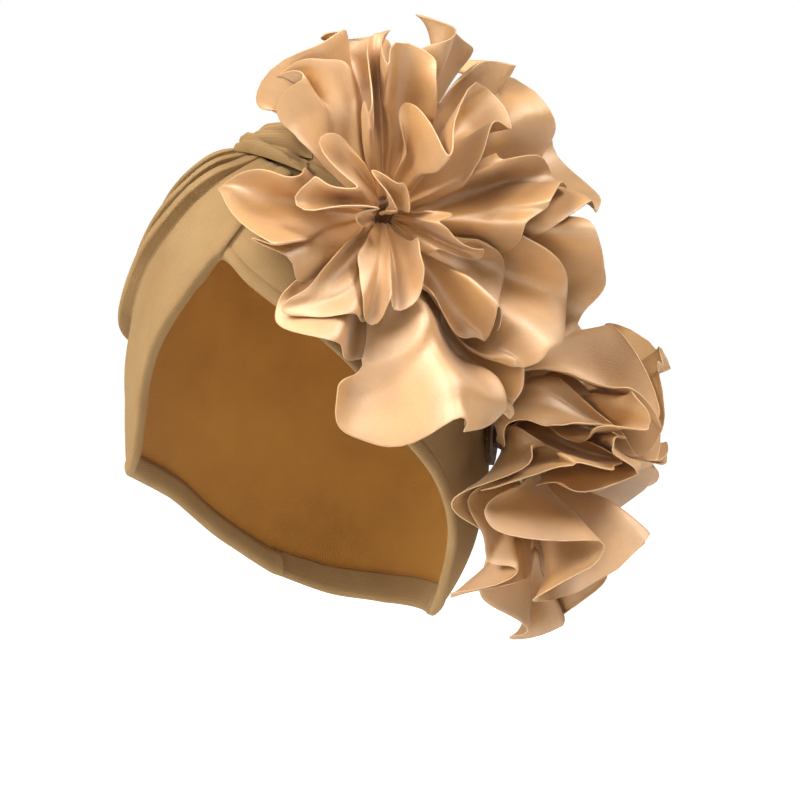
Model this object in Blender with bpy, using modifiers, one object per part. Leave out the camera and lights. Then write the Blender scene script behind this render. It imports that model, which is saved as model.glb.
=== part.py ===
"""A stretch jersey turban cap with a twisted front and two large ruffled satin flowers.

Metres, +Z up. The origin is inside the crown, where the top of the head touches the cloth.
The face opening looks along -Y, and the flowers sit on the wearer's left, at +X.

Turn is the angle round the head in degrees, 0 at the brow and positive towards the wearer's left.
Level is the angle down the head in degrees, 0 at the top, 90 at the widest part of the head and
more below it. Height is how far a point stands out from the head.
"""

import math
from typing import NamedTuple

import bmesh
import bpy
import numpy as np
from mathutils import Matrix, Vector

HEAD_WIDTH = 0.150
HEAD_LENGTH = 0.187
CROWN_RISE = 0.118  # widest part of the head up to the inside of the crown
NAPE_DROP = 0.106  # widest part of the head down to the nape hem
WIDTH_DRAWN_IN = 0.36  # share of the width that the nape hem is drawn in by
LENGTH_DRAWN_IN = 0.30
WIDTH_DRAW_POWER = 3.0
LENGTH_DRAW_POWER = 4.5

CROWN_WALL = 0.0015
BAND_WALL = 0.0014
TWIST_WALL = 0.0014
PETAL_WALL = 0.0010
LAYER_GAP = 0.0011  # between two layers of cloth that lie on each other
SEAT_GAP = 0.0003  # between a sewn piece and what it is sewn to

HEM_OVERLAP = 0.6  # degrees that the bands reach below the crown's own edge
BAND_BACK_TURN = 128.0  # where both bands end in the side seams
FLAT_SHARE = 0.5  # share of a band's width next to the face that has no pleats
PLEATS = 3
PLEAT_SKEW = 0.42  # below 1, a pleat's crest lies near its crease on the face side
PLEAT_HEIGHT = 0.0064
PLEAT_HEIGHT_AT_TWIST = 0.0014
PLEATS_RISE_FROM = 0.01  # the pleats rise between these shares of a band's length
PLEATS_RISE_TO = 0.16
PLEATS_FALL_FROM = 0.5  # the pleats sink by FALL between this share and the side seam
PLEATS_FALL = 0.5
CROSS_LIFT = 0.0027  # how far the right band is lifted where it lies over the left one
CROSS_LIFT_FROM = -36.0  # the lift starts at this turn and is full at the next
CROSS_LIFT_FULL = -11.0
TWIST_SEAT = 0.0007
LEFT_PLEATS_FROM = 30.0  # the left band is flat where the right one covers it
LEFT_PLEATS_FULL = 58.0
TWIST_COVER_FROM = 3.0  # degrees above the right band's edge where the twist starts to rise on it
TWIST_COVER_FULL = 0.5
TWIST_WIDTH = 0.0130
TWIST_HEIGHT = 0.0078
TWIST_BOW = 1.5  # degrees that a roll arches up between its ends
TWIST_WIDTH_AT_PINCH = 0.35  # a roll's width at its pinched end, as a share of its full width
TWIST_PINCH = 0.4  # a roll's height at its pinched end, as a share of its full height
TWIST_RISE_TO = 0.35  # share of a roll's length where it reaches its full height

CORE_BALL_RADIUS = 0.0080
CORE_FOOT_RADIUS = 0.0140
CORE_FOOT_THICKNESS = 0.0022
CORE_NECK_RADIUS = 0.0060
CORE_BALL_SINK = 0.9  # height of the ball's centre over the foot, as a share of its radius
CORE_BALL_POINTS = 7
CORE_CLEAR_NEAR = 0.018  # pleats are pressed flat within this distance of a core
CORE_CLEAR_FAR = 0.042

PETAL_CLEARANCE_BASE = 0.0015
PETAL_CLEARANCE_EDGE = 0.0036
CLEARANCE_REACH = 0.030
PETAL_SHOULDER = 0.62  # length of a petal's sides as a share of its middle
PETAL_ROUNDING = 2.2  # power of the curve of a petal's end
RUFFLE_POWER = 1.4  # how late along a petal its ruffle grows
SOFT_TOUCH = 4.0  # degrees over which a petal bends clear of the ones behind it
SWAY_REACH = 0.55  # the shared folds are full at this share of the flower's radius
SWAY_POWER = 1.6
SWAY_LIMIT = 1.15
SLOW_SWAY = 9.0  # degrees that the wide folds lean, the narrow folds lean, and the edges turn
QUICK_SWAY = 8.0
TURN_SWAY = 9.0
TURN_WAVES = 5  # waves of the turn for each wave of lean
CAP_ROOM = 0.0085  # petals stay this far out from the head
DIVIDER_SHARE = 0.56  # how far from the upper flower the petals of the two flowers meet
DIVIDER_TILT = 0.6  # how much the upper flower's petals lie over the lower flower's
DIVIDER_ROOM = 0.0016

NORMAL_STEP = 0.5  # degrees to each side that a direction off the head is measured over
NORMAL_LEVEL = 0.6  # least level that such a direction is measured at
TOUCH_LIMIT = 30.0  # keeps the soft touch of two petals within what numbers can hold
CELL_END = 1.001  # keeps the last place read inside the last cell of the room

CROWN_COLUMNS = 28
CROWN_ROWS = 10
BAND_COLUMNS = 16
BAND_FLAT_ROWS = 3
BAND_PLEAT_ROWS = 4  # for each pleat
TWIST_COLUMNS = 8
TWIST_ROWS = 5
PETAL_COLUMNS = 9
PETAL_ROWS = 4
CORE_STEPS = 12


class RimRow(NamedTuple):
    """The cap's lower edge: how far down it lies at one turn."""

    turn: float
    level: float


class EdgeRow(NamedTuple):
    """A band's upper edge at one share of its length from the twist."""

    share: float
    turn: float
    level: float


class TwistRow(NamedTuple):
    """One roll of the twist, from its pinched end to the end that lies under the flower.

    height is a share of the tallest roll's.
    """

    name: str
    start_turn: float
    start_level: float
    end_turn: float
    end_level: float
    height: float


class FlowerRow(NamedTuple):
    """A flower's place on the cap, the way it faces, its size, and the folds its petals share.

    slow_lobes, quick_lobes: how many wide and narrow folds there are round the flower
    slow_start, turn_start, quick_start: where each kind of fold starts, in degrees
    """

    name: str
    turn: float
    level: float
    face_turn: float
    face_rise: float
    radius: float
    slow_lobes: int
    quick_lobes: int
    slow_start: float
    turn_start: float
    quick_start: float


class PetalRow(NamedTuple):
    """One petal. Angles are in degrees, and reach is a share of the flower's radius.

    clock: direction round the flower, 0 at its top, clockwise as seen from in front
    lean: angle from the flower's axis
    reach: length
    span: angle that its width takes up
    tilt: how much its right side leans back more than its left
    ruffle: height of its waves at the edge
    waves: half waves across it
    phase: where the waves start
    curl: how much its tip leans back more than its base
    """

    clock: float
    lean: float
    reach: float
    span: float
    tilt: float
    ruffle: float
    waves: float
    phase: float
    curl: float


RIM = (
    RimRow(-180, 141),
    RimRow(-155, 140),
    RimRow(-130, 136),
    RimRow(-108, 127),
    RimRow(-86, 115),
    RimRow(-62, 109),
    RimRow(-44, 106.5),
    RimRow(-34.5, 103),
    RimRow(-29, 96),
    RimRow(-25, 88),
    RimRow(-20, 79.5),
    RimRow(-13.5, 73),
    RimRow(-7.5, 67.5),
    RimRow(-2.5, 62.5),
    RimRow(3.5, 57.5),
    RimRow(16.5, 63.5),
    RimRow(29, 69.5),
    RimRow(40, 75),
    RimRow(52, 83),
    RimRow(65, 95.5),
    RimRow(81.5, 107.5),
    RimRow(93, 119),
    RimRow(103, 133),
    RimRow(116, 139),
    RimRow(132, 141),
    RimRow(180, 141),
)
PEAK_TURN = 3.5

RIGHT_UPPER = (
    EdgeRow(0.0, -13, 24),
    EdgeRow(0.15, -38, 28),
    EdgeRow(0.3, -60, 37),
    EdgeRow(0.6, -92, 54),
    EdgeRow(1.0, -128, 70),
)
RIGHT_LOWER_START = ((27.0, 35.0), (12.0, 47.0))  # turn and level beyond the crossing
LEFT_UPPER = (
    EdgeRow(0.0, -11, 21),
    EdgeRow(0.2, 20, 16),
    EdgeRow(0.4, 56, 29),
    EdgeRow(0.65, 92, 50),
    EdgeRow(1.0, 128, 68),
)
LEFT_START_TURN = -4.0

TWISTS = (
    TwistRow("twist_back", -16, 21.6, 40, 19.0, 0.87),
    TwistRow("twist_upper", -14, 24.7, 38, 26.2, 1.0),
    TwistRow("twist_lower", -12, 27.8, 35, 33.4, 0.85),
)

UPPER_FLOWER = FlowerRow("upper_petal", 61, 50, 50, 0, 0.088, 4, 9, 270, 40, 135)
LOWER_FLOWER = FlowerRow("lower_petal", 115, 100, 99, -8, 0.088, 4, 9, 250, 140, 30)

UPPER_PETALS = (
    PetalRow(150, 92, 1.18, 58, 8, 10, 2.0, 20, 10),
    PetalRow(104, 82, 1.18, 54, 6, 8, 1.8, 80, 6),
    PetalRow(72, 84, 1.12, 54, 6, 8, 2.0, 200, 6),
    PetalRow(14, 92, 1.02, 48, 6, 12, 2.2, 120, 4),
    PetalRow(338, 88, 0.95, 46, 8, 12, 2.0, 300, 8),
    PetalRow(322, 80, 0.88, 34, 6, 12, 2.0, 60, 4),
    PetalRow(212, 84, 0.84, 60, 8, 10, 2.0, 160, 8),
    PetalRow(176, 74, 1.26, 56, 6, 12, 2.2, 250, 8),
    PetalRow(130, 70, 1.10, 58, 6, 11, 2.0, 10, 10),
    PetalRow(42, 76, 1.04, 58, 6, 12, 2.0, 100, 8),
    PetalRow(356, 72, 0.94, 46, 6, 16, 2.4, 200, 4),
    PetalRow(264, 74, 0.84, 52, 6, 12, 2.0, 340, 12),
    PetalRow(228, 66, 0.76, 52, 8, 14, 2.2, 90, 12),
    PetalRow(86, 54, 0.92, 64, 8, 16, 2.2, 180, 14),
    PetalRow(148, 48, 0.84, 66, 8, 18, 2.4, 280, 14),
    PetalRow(34, 38, 0.82, 72, 8, 16, 2.2, 30, 14),
    PetalRow(296, 36, 0.66, 70, 8, 16, 2.2, 130, 10),
    PetalRow(200, 32, 0.68, 76, 8, 16, 2.2, 230, 12),
    PetalRow(110, 17, 0.60, 84, 6, 11, 2.0, 320, 8),
    PetalRow(330, 12, 0.46, 104, 6, 12, 2.0, 80, 6),
)

LOWER_PETALS = (
    PetalRow(182, 84, 1.06, 50, 8, 8, 2.0, 40, 6),
    PetalRow(131, 92, 1.00, 48, 6, 8, 2.0, 140, 8),
    PetalRow(91, 91, 0.96, 52, 6, 9, 2.0, 230, 8),
    PetalRow(41, 84, 0.96, 53, 6, 9, 2.0, 320, 6),
    PetalRow(350, 90, 0.86, 58, 6, 8, 2.0, 60, 6),
    PetalRow(300, 96, 0.74, 60, 6, 8, 1.8, 160, 6),
    PetalRow(248, 98, 0.70, 64, 6, 8, 1.8, 60, 6),
    PetalRow(216, 72, 0.92, 60, 8, 12, 2.2, 150, 6),
    PetalRow(164, 62, 1.00, 60, 6, 11, 2.2, 10, 6),
    PetalRow(105, 66, 0.96, 57, 6, 10, 2.2, 110, 8),
    PetalRow(54, 66, 0.90, 58, 6, 10, 2.2, 200, 6),
    PetalRow(321, 71, 0.90, 60, 6, 10, 2.2, 290, 6),
    PetalRow(269, 68, 0.81, 61, 6, 11, 2.2, 20, 6),
    PetalRow(206, 42, 0.96, 72, 6, 14, 2.2, 120, 8),
    PetalRow(136, 40, 0.92, 76, 8, 14, 2.2, 220, 10),
    PetalRow(20, 38, 0.92, 74, 6, 12, 2.2, 310, 8),
    PetalRow(286, 38, 0.84, 84, 8, 14, 2.2, 80, 10),
    PetalRow(88, 15, 0.84, 104, 6, 12, 2.2, 60, 6),
)

COLOURS = {
    "jersey": (0.55, 0.36, 0.18, 1.0),
    "satin": (0.62, 0.38, 0.20, 1.0),
    "felt": (0.30, 0.17, 0.09, 1.0),
}
ROUGHNESS = {"jersey": 0.85, "satin": 0.42, "felt": 0.95}


def read_table(rows, column, value):
    """Smooth curve through a table's column, with no overshoot between its rows."""
    x = np.array([row[0] for row in rows], float)
    y = np.array([row[column] for row in rows], float)
    step = np.diff(x)
    rise = np.diff(y) / step
    slope = np.zeros(len(x))
    same_way = rise[:-1] * rise[1:] > 0
    mean = 2 * rise[:-1] * rise[1:] / np.where(same_way, rise[:-1] + rise[1:], 1.0)
    slope[1:-1] = np.where(same_way, mean, 0.0)
    slope[0], slope[-1] = rise[0], rise[-1]
    value = np.clip(np.asarray(value, float), x[0], x[-1])
    i = np.clip(np.searchsorted(x, value, side="right") - 1, 0, len(step) - 1)
    t = (value - x[i]) / step[i]
    return (
        y[i] * (2 * t**3 - 3 * t**2 + 1)
        + y[i + 1] * (3 * t**2 - 2 * t**3)
        + slope[i] * step[i] * (t**3 - 2 * t**2 + t)
        + slope[i + 1] * step[i] * (t**3 - t**2)
    )


def smooth_step(value, low, high):
    """0 below low, 1 above high, and a smooth rise between."""
    t = np.clip((value - low) / (high - low), 0, 1)
    return t * t * (3 - 2 * t)


def head_point(turn, level):
    """Points on the head, as an array of rows."""
    turn, level = np.broadcast_arrays(
        np.asarray(turn, float), np.asarray(level, float)
    )
    above = np.minimum(level, 90.0)
    drop = CROWN_RISE * np.radians(np.maximum(level - 90.0, 0.0))
    share = drop / NAPE_DROP
    width = np.sin(np.radians(above)) - WIDTH_DRAWN_IN * share**WIDTH_DRAW_POWER
    length = np.sin(np.radians(above)) - LENGTH_DRAWN_IN * share**LENGTH_DRAW_POWER
    x = HEAD_WIDTH / 2 * width * np.sin(np.radians(turn))
    y = -HEAD_LENGTH / 2 * length * np.cos(np.radians(turn))
    z = CROWN_RISE * (np.cos(np.radians(above)) - 1) - drop
    return np.stack([x, y, z], axis=-1)


def head_normal(turn, level):
    """Outward directions at right angles to the head."""
    level = np.maximum(level, NORMAL_LEVEL)
    along_turn = head_point(np.add(turn, NORMAL_STEP), level) - head_point(
        np.subtract(turn, NORMAL_STEP), level
    )
    along_level = head_point(turn, level + NORMAL_STEP) - head_point(turn, level - NORMAL_STEP)
    normal = np.cross(along_level, along_turn)
    return normal / np.linalg.norm(normal, axis=-1, keepdims=True)


def cloth_point(turn, level, height):
    """Points that stand out from the head by height."""
    return head_point(turn, level) + head_normal(turn, level) * np.asarray(height)[
        ..., None
    ]


def rim_level(turn):
    """Level of the cap's lower edge."""
    return read_table(RIM, 1, turn)


def material(name):
    """The finish of one kind of cloth."""
    found = bpy.data.materials.get(name)
    if found is None:
        found = bpy.data.materials.new(name)
        found.use_nodes = True
        shader = found.node_tree.nodes["Principled BSDF"]
        shader.inputs["Base Color"].default_value = COLOURS[name]
        shader.inputs["Roughness"].default_value = ROUGHNESS[name]
        shader.inputs["Metallic"].default_value = 0.0
    return found


def add_object(name, mesh, finish, collection):
    """A named object for one piece."""
    piece = bpy.data.objects.new(name, mesh)
    mesh.materials.append(material(finish))
    mesh.shade_smooth()
    collection.objects.link(piece)
    return piece


def thicken(piece, wall):
    """Turns an open sheet into a wall, half on each side of the sheet."""
    solid = piece.modifiers.new("wall", "SOLIDIFY")
    solid.thickness = wall
    solid.offset = 0.0
    return piece


def sheet_mesh(name, columns, rows, place):
    """A grid bent into a sheet. place turns across from -1 to 1 and along from 0 to 1 into points."""
    shape = bmesh.new()
    bmesh.ops.create_grid(shape, x_segments=columns, y_segments=rows, size=1.0)
    verts = list(shape.verts)
    across = np.array([v.co.x for v in verts])
    along = np.array([(v.co.y + 1) / 2 for v in verts])
    for vert, point in zip(verts, place(across, along)):
        vert.co = Vector(point)
    mesh = bpy.data.meshes.new(name)
    shape.to_mesh(mesh)
    shape.free()
    return mesh


def make_crown(collection):
    """The whole cap under the bands and flowers, open at the face and the neck."""
    shape = bmesh.new()
    bmesh.ops.create_uvsphere(
        shape, u_segments=CROWN_COLUMNS, v_segments=CROWN_ROWS + 1, radius=1.0
    )
    bottom = min(shape.verts, key=lambda v: v.co.z)
    bmesh.ops.delete(shape, geom=[bottom], context="VERTS")
    lowest = max(math.acos(max(-1.0, min(1.0, v.co.z))) for v in shape.verts)
    for vert in shape.verts:
        turn = math.degrees(math.atan2(vert.co.x, -vert.co.y))
        down = math.acos(max(-1.0, min(1.0, vert.co.z))) / lowest
        level = down * (float(rim_level(turn)) - HEM_OVERLAP)
        vert.co = Vector(cloth_point(turn, level, CROWN_WALL / 2))
    mesh = bpy.data.meshes.new("crown")
    shape.to_mesh(mesh)
    shape.free()
    return thicken(add_object("crown", mesh, "jersey", collection), CROWN_WALL)


def pleat_rows(across):
    """Share of a band's width at each grid line, and the pleats counted up to it."""
    line = (across + 1) / 2 * (BAND_FLAT_ROWS + BAND_PLEAT_ROWS * PLEATS)
    flat = FLAT_SHARE * np.minimum(line / BAND_FLAT_ROWS, 1)
    part = np.maximum(line - BAND_FLAT_ROWS, 0) / BAND_PLEAT_ROWS
    return flat + (1 - FLAT_SHARE) * part / PLEATS, part


def pleat_relief(part):
    """Rounded rolls side by side, each with one steep side, 0 to 1. Part counts the pleats."""
    part = np.round(part, 6)
    return np.sin(np.pi * (part - np.floor(part)) ** PLEAT_SKEW)


def near_core(points):
    """0 where a flower's core presses the cloth flat, 1 away from it."""
    free = np.ones(points.shape[:-1])
    for flower in (UPPER_FLOWER, LOWER_FLOWER):
        site = head_point(flower.turn, flower.level)
        distance = np.linalg.norm(points - site, axis=-1)
        free = free * smooth_step(distance, CORE_CLEAR_NEAR, CORE_CLEAR_FAR)
    return free


def right_lower_edge(along):
    """The right band's lower edge: from the twist down to the peak, and along the rim."""
    (far_turn, far_level), (near_turn, near_level) = RIGHT_LOWER_START
    turn = far_turn + (-BAND_BACK_TURN - far_turn) * along
    peak = float(rim_level(PEAK_TURN))
    turns = (PEAK_TURN, near_turn, far_turn)
    beyond = np.interp(turn, turns, (peak, near_level, far_level))
    return turn, np.where(turn > PEAK_TURN, beyond, rim_level(turn))


def cross_lift(turn):
    """How far the right band is lifted clear of the left one."""
    return CROSS_LIFT * smooth_step(turn, CROSS_LIFT_FROM, CROSS_LIFT_FULL)


def twist_seat(turn, level):
    """Height of the bands' top under the twist."""
    (far_turn, far_level), _ = RIGHT_LOWER_START
    turns = (RIGHT_UPPER[1].turn, RIGHT_UPPER[0].turn, far_turn)
    levels = (RIGHT_UPPER[1].level, RIGHT_UPPER[0].level, far_level)
    edge = np.interp(turn, turns, levels)
    over = smooth_step(level, edge - TWIST_COVER_FROM, edge - TWIST_COVER_FULL)
    bands = CROWN_WALL + LAYER_GAP + BAND_WALL
    return bands + over * (cross_lift(turn) + PLEAT_HEIGHT_AT_TWIST) + TWIST_SEAT


def make_band(name, lower_edge, upper_rows, over, collection):
    """A pleated band from the twist to the side seam, flat next to the face.

    lower_edge gives turn and level of the edge by the face, upper_rows is the table of the other
    edge, and over is True for the band that lies over the other one.
    """

    def place(across, along):
        share, part = pleat_rows(across)
        low_turn, low_level = lower_edge(along)
        top_turn = read_table(upper_rows, 1, along)
        top_level = read_table(upper_rows, 2, along)
        turn = low_turn + (top_turn - low_turn) * share
        level = low_level + (top_level - low_level) * share
        rise = smooth_step(along, PLEATS_RISE_FROM, PLEATS_RISE_TO)
        rise = rise * (1 - PLEATS_FALL * smooth_step(along, PLEATS_FALL_FROM, 1.0))
        relief = PLEAT_HEIGHT_AT_TWIST + (PLEAT_HEIGHT - PLEAT_HEIGHT_AT_TWIST) * rise
        relief = relief * near_core(head_point(turn, level))
        height = CROWN_WALL + LAYER_GAP + BAND_WALL / 2
        if over:
            height = height + cross_lift(turn)
        else:
            relief = relief * smooth_step(turn, LEFT_PLEATS_FROM, LEFT_PLEATS_FULL)
        return cloth_point(turn, level, height + relief * pleat_relief(part))

    rows = BAND_FLAT_ROWS + BAND_PLEAT_ROWS * PLEATS
    mesh = sheet_mesh(name, rows, BAND_COLUMNS, place)
    return thicken(add_object(name, mesh, "jersey", collection), BAND_WALL)


def left_lower_edge(along):
    """The left band's lower edge, along the rim."""
    turn = LEFT_START_TURN + (BAND_BACK_TURN - LEFT_START_TURN) * along
    return turn, rim_level(turn)


def make_twist(row, collection):
    """One roll of the twist: an arched strip that crosses over the end of the right band."""

    def place(across, along):
        middle_turn = row.start_turn + (row.end_turn - row.start_turn) * along
        middle_level = row.start_level + (row.end_level - row.start_level) * along
        middle_level = middle_level - TWIST_BOW * np.sin(np.pi * along)
        width = TWIST_WIDTH * (TWIST_WIDTH_AT_PINCH + (1 - TWIST_WIDTH_AT_PINCH) * along)
        level = middle_level + np.degrees(width / CROWN_RISE) / 2 * across
        arch = np.sqrt(np.maximum(0.0, 1 - across**2))
        height = twist_seat(middle_turn, level) + TWIST_WALL / 2
        full = TWIST_PINCH + (1 - TWIST_PINCH) * smooth_step(along, 0.0, TWIST_RISE_TO)
        lift = row.height * TWIST_HEIGHT * full
        return cloth_point(middle_turn, level, height + lift * arch)

    mesh = sheet_mesh(row.name, TWIST_ROWS, TWIST_COLUMNS, place)
    return thicken(add_object(row.name, mesh, "jersey", collection), TWIST_WALL)


def core_height():
    """How far a core's ball centre stands out from the head."""
    foot_bottom = CROWN_WALL + LAYER_GAP + BAND_WALL + SEAT_GAP
    return foot_bottom + CORE_FOOT_THICKNESS + CORE_BALL_RADIUS * CORE_BALL_SINK


def core_centre(flower):
    """The point that a flower's petals radiate from."""
    return cloth_point(flower.turn, flower.level, core_height())


def make_core(name, flower, collection):
    """The hidden stitched ball on a round foot that a flower's petals are gathered to."""
    ball, neck, foot = CORE_BALL_RADIUS, CORE_NECK_RADIUS, CORE_FOOT_RADIUS
    foot_top = -CORE_BALL_RADIUS * CORE_BALL_SINK
    foot_bottom = foot_top - CORE_FOOT_THICKNESS
    neck_angle = math.asin(neck / ball)
    profile = [
        (ball * math.sin(a), ball * math.cos(a))
        for a in np.linspace(0.0, math.pi - neck_angle, CORE_BALL_POINTS)
    ]
    profile += [(neck, foot_top), (foot, foot_top), (foot, foot_bottom), (0.0, foot_bottom)]
    mesh = bpy.data.meshes.new(name)
    points = [(x, 0.0, z) for x, z in profile]
    mesh.from_pydata(points, [(i, i + 1) for i in range(len(points) - 1)], [])
    core = add_object(name, mesh, "felt", collection)
    turned = core.modifiers.new("turned", "SCREW")
    turned.steps = turned.render_steps = CORE_STEPS
    turned.use_merge_vertices = True
    turned.merge_threshold = 0.00001
    core.location = Vector(core_centre(flower))
    normal = Vector(head_normal(flower.turn, flower.level))
    core.rotation_euler = normal.to_track_quat("Z", "Y").to_euler()
    return core


class Flower:
    """A flower's axes and the room that its petals have taken so far.

    Petals are placed in polar form round the core: clock round the flower's axis, lean away from
    it, and distance out. The room is kept as the smallest lean taken at each clock and distance,
    so that each petal lies on those sewn before it and none passes through another.
    """

    CLOCKS = 180
    DISTANCES = 32
    SOFT_CLOCKS = 6
    OPEN_SHRINKS = 3
    OPEN_BLURS = 10
    LEAN_STEP = 2.0
    REACH_SHARE = 1.28  # how far out room is kept, as a share of the radius
    FREE = 179.0

    def __init__(self, row, side):
        self.row = row
        self.centre = core_centre(row)
        turn, rise = math.radians(row.face_turn), math.radians(row.face_rise)
        self.axis = np.array(
            [
                math.sin(turn) * math.cos(rise),
                -math.cos(turn) * math.cos(rise),
                math.sin(rise),
            ]
        )
        up = np.array([0.0, 0.0, 1.0]) - self.axis * self.axis[2]
        self.up = up / np.linalg.norm(up)
        self.side = np.cross(self.up, self.axis)
        self.start = CORE_BALL_RADIUS + SEAT_GAP
        self.farthest = row.radius * self.REACH_SHARE
        self.clocks = np.arange(self.CLOCKS) * 360.0 / self.CLOCKS
        self.distances = np.linspace(self.start, self.farthest, self.DISTANCES)
        self.taken = self.open_room(side)

    def open_room(self, side):
        """The smallest lean that would reach the cap or the other flower, for each clock and distance."""
        leans = np.arange(0.0, self.FREE, self.LEAN_STEP)
        clock, distance, lean = np.meshgrid(
            self.clocks, self.distances, leans, indexing="ij"
        )
        points = self.points(clock.ravel(), lean.ravel(), distance.ravel())
        shut = blocked(points, side).reshape(clock.shape)
        shut[..., -1] = True
        room = leans[np.argmax(shut, axis=-1)]
        for _ in range(self.OPEN_SHRINKS):
            room = self.least_near(room)
        for _ in range(self.OPEN_BLURS):
            room = self.blurred(room)
        return room

    @staticmethod
    def least_near(room):
        """The least of each place and its neighbours nearer and farther out."""
        padded = np.pad(room, ((0, 0), (1, 1)), mode="edge")
        return np.minimum(room, np.minimum(padded[:, :-2], padded[:, 2:]))

    @staticmethod
    def blurred(room):
        """The mean of each place and its neighbours nearer and farther out."""
        padded = np.pad(room, ((0, 0), (1, 1)), mode="edge")
        return (padded[:, :-2] + 2 * room + padded[:, 2:]) / 4

    def clearance(self, distance):
        """Degrees between two petals that lie on each other."""
        share = smooth_step(distance, self.start, CLEARANCE_REACH)
        gap = (
            PETAL_CLEARANCE_BASE
            + (PETAL_CLEARANCE_EDGE - PETAL_CLEARANCE_BASE) * share
        )
        return np.degrees(gap / distance)

    def ceiling(self):
        """The room taken, eased so that a petal rises gently over another's edge."""
        low = self.taken
        for _ in range(self.SOFT_CLOCKS):
            low = np.minimum(low, np.minimum(np.roll(low, 1, 0), np.roll(low, -1, 0)))
        low = self.least_near(low)
        for _ in range(self.SOFT_CLOCKS):
            low = (np.roll(low, 1, 0) + 2 * low + np.roll(low, -1, 0)) / 4
        return self.blurred(low)

    def read_ceiling(self, ceiling, clock, distance):
        """The ceiling at any clock and distance."""
        c = (clock % 360.0) * self.CLOCKS / 360.0
        d = (distance - self.start) / (self.farthest - self.start) * (self.DISTANCES - 1)
        d = np.clip(d, 0, self.DISTANCES - CELL_END)
        c0, d0 = np.floor(c).astype(int) % self.CLOCKS, np.floor(d).astype(int)
        c1, fc, fd = (c0 + 1) % self.CLOCKS, c - np.floor(c), d - d0
        near = ceiling[c0, d0] * (1 - fc) + ceiling[c1, d0] * fc
        far = ceiling[c0, d0 + 1] * (1 - fc) + ceiling[c1, d0 + 1] * fc
        return near * (1 - fd) + far * fd

    def lean(self, petal, across, out, clock, distance, ceiling):
        """Lean of a petal's point, under the ceiling that the earlier petals leave."""
        wave = np.sin(np.pi * petal.waves * across + np.radians(petal.phase))
        wanted = (
            petal.lean
            + petal.tilt * across * out
            + petal.ruffle * out**RUFFLE_POWER * wave
            + petal.curl * out**2
        )
        room = self.read_ceiling(ceiling, clock, distance) - self.clearance(distance)
        over = np.clip((wanted - room) / SOFT_TOUCH, -TOUCH_LIMIT, TOUCH_LIMIT)
        return room - SOFT_TOUCH * np.log1p(np.exp(-over))

    @staticmethod
    def edge(across):
        """Length of a petal at one place across it, as a share of its middle."""
        return PETAL_SHOULDER + (1 - PETAL_SHOULDER) * (1 - np.abs(across) ** PETAL_ROUNDING)

    def sheet(self, petal, across, along, ceiling):
        """Clock, lean and distance of a petal's points."""
        length = petal.reach * self.row.radius
        distance = self.start + (length * self.edge(across) - self.start) * along
        out = distance / length
        clock = petal.clock + petal.span / 2 * across
        return clock, self.lean(petal, across, out, clock, distance, ceiling), distance

    def take_room(self, petal, ceiling):
        """Marks the room that a petal takes."""
        clock, distance = np.meshgrid(self.clocks, self.distances, indexing="ij")
        across = ((clock - petal.clock + 180) % 360 - 180) / (petal.span / 2)
        inside = np.abs(across) <= 1
        across = np.clip(across, -1, 1)
        length = petal.reach * self.row.radius
        inside &= distance <= length * self.edge(across)
        lean = self.lean(petal, across, distance / length, clock, distance, ceiling)
        self.taken = np.where(inside, np.minimum(self.taken, lean), self.taken)

    def sway(self, clock, lean, distance):
        """Folds that all the petals share, so that their edges wind between each other."""
        row = self.row
        out = np.clip(distance / (SWAY_REACH * row.radius), 0, SWAY_LIMIT) ** SWAY_POWER
        wide = np.sin(np.radians(row.slow_lobes * clock + row.slow_start))
        lean = lean + SLOW_SWAY * out * wide
        turned = np.sin(np.radians(TURN_WAVES * lean + row.turn_start))
        clock = clock + TURN_SWAY * out * turned
        narrow = np.sin(np.radians(row.quick_lobes * clock + row.quick_start))
        lean = lean + QUICK_SWAY * out * narrow
        return clock, lean

    def points(self, clock, lean, distance):
        """Points in space."""
        clock, lean = self.sway(clock, lean, distance)
        c, a = np.radians(clock), np.radians(lean)
        ring = np.cos(c)[:, None] * self.up + np.sin(c)[:, None] * self.side
        direction = np.cos(a)[:, None] * self.axis + np.sin(a)[:, None] * ring
        return self.centre + distance[:, None] * direction


def outside_head(points):
    """About how far points stand out from the head."""
    ray = points - np.array([0.0, 0.0, -CROWN_RISE])
    below = np.minimum(ray[:, 2], 0.0)
    share = np.minimum(-below / NAPE_DROP, 1.0)
    half_width = HEAD_WIDTH / 2 * (1 - WIDTH_DRAWN_IN * share**WIDTH_DRAW_POWER)
    half_length = HEAD_LENGTH / 2 * (1 - LENGTH_DRAWN_IN * share**LENGTH_DRAW_POWER)
    ray[:, 2] -= below
    half = np.stack([half_width, half_length, np.full(len(ray), CROWN_RISE)], axis=1)
    ratio = np.linalg.norm(ray / half, axis=1)
    return (1 - 1 / ratio) * np.linalg.norm(ray, axis=1)


def blocked(points, side):
    """True where a point is too near the cap, or over on the other flower's side."""
    upper, lower = core_centre(UPPER_FLOWER), core_centre(LOWER_FLOWER)
    away = (upper - lower) / np.linalg.norm(upper - lower)
    away = away + DIVIDER_TILT * head_normal(UPPER_FLOWER.turn, UPPER_FLOWER.level)
    away = away / np.linalg.norm(away)
    meeting = upper + (lower - upper) * DIVIDER_SHARE
    beyond = side * (points - meeting) @ away < DIVIDER_ROOM
    return (outside_head(points) < CAP_ROOM) | beyond


def make_flower(row, petals, side, collection):
    """All the petals of a flower, from the outermost in."""
    flower = Flower(row, side)
    for number, petal in enumerate(petals, 1):
        ceiling = flower.ceiling()

        def place(across, along, petal=petal, ceiling=ceiling):
            return flower.points(*flower.sheet(petal, across, along, ceiling))

        name = f"{row.name}_{number:02d}"
        mesh = sheet_mesh(name, PETAL_COLUMNS, PETAL_ROWS, place)
        thicken(add_object(name, mesh, "satin", collection), PETAL_WALL)
        flower.take_room(petal, ceiling)


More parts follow.
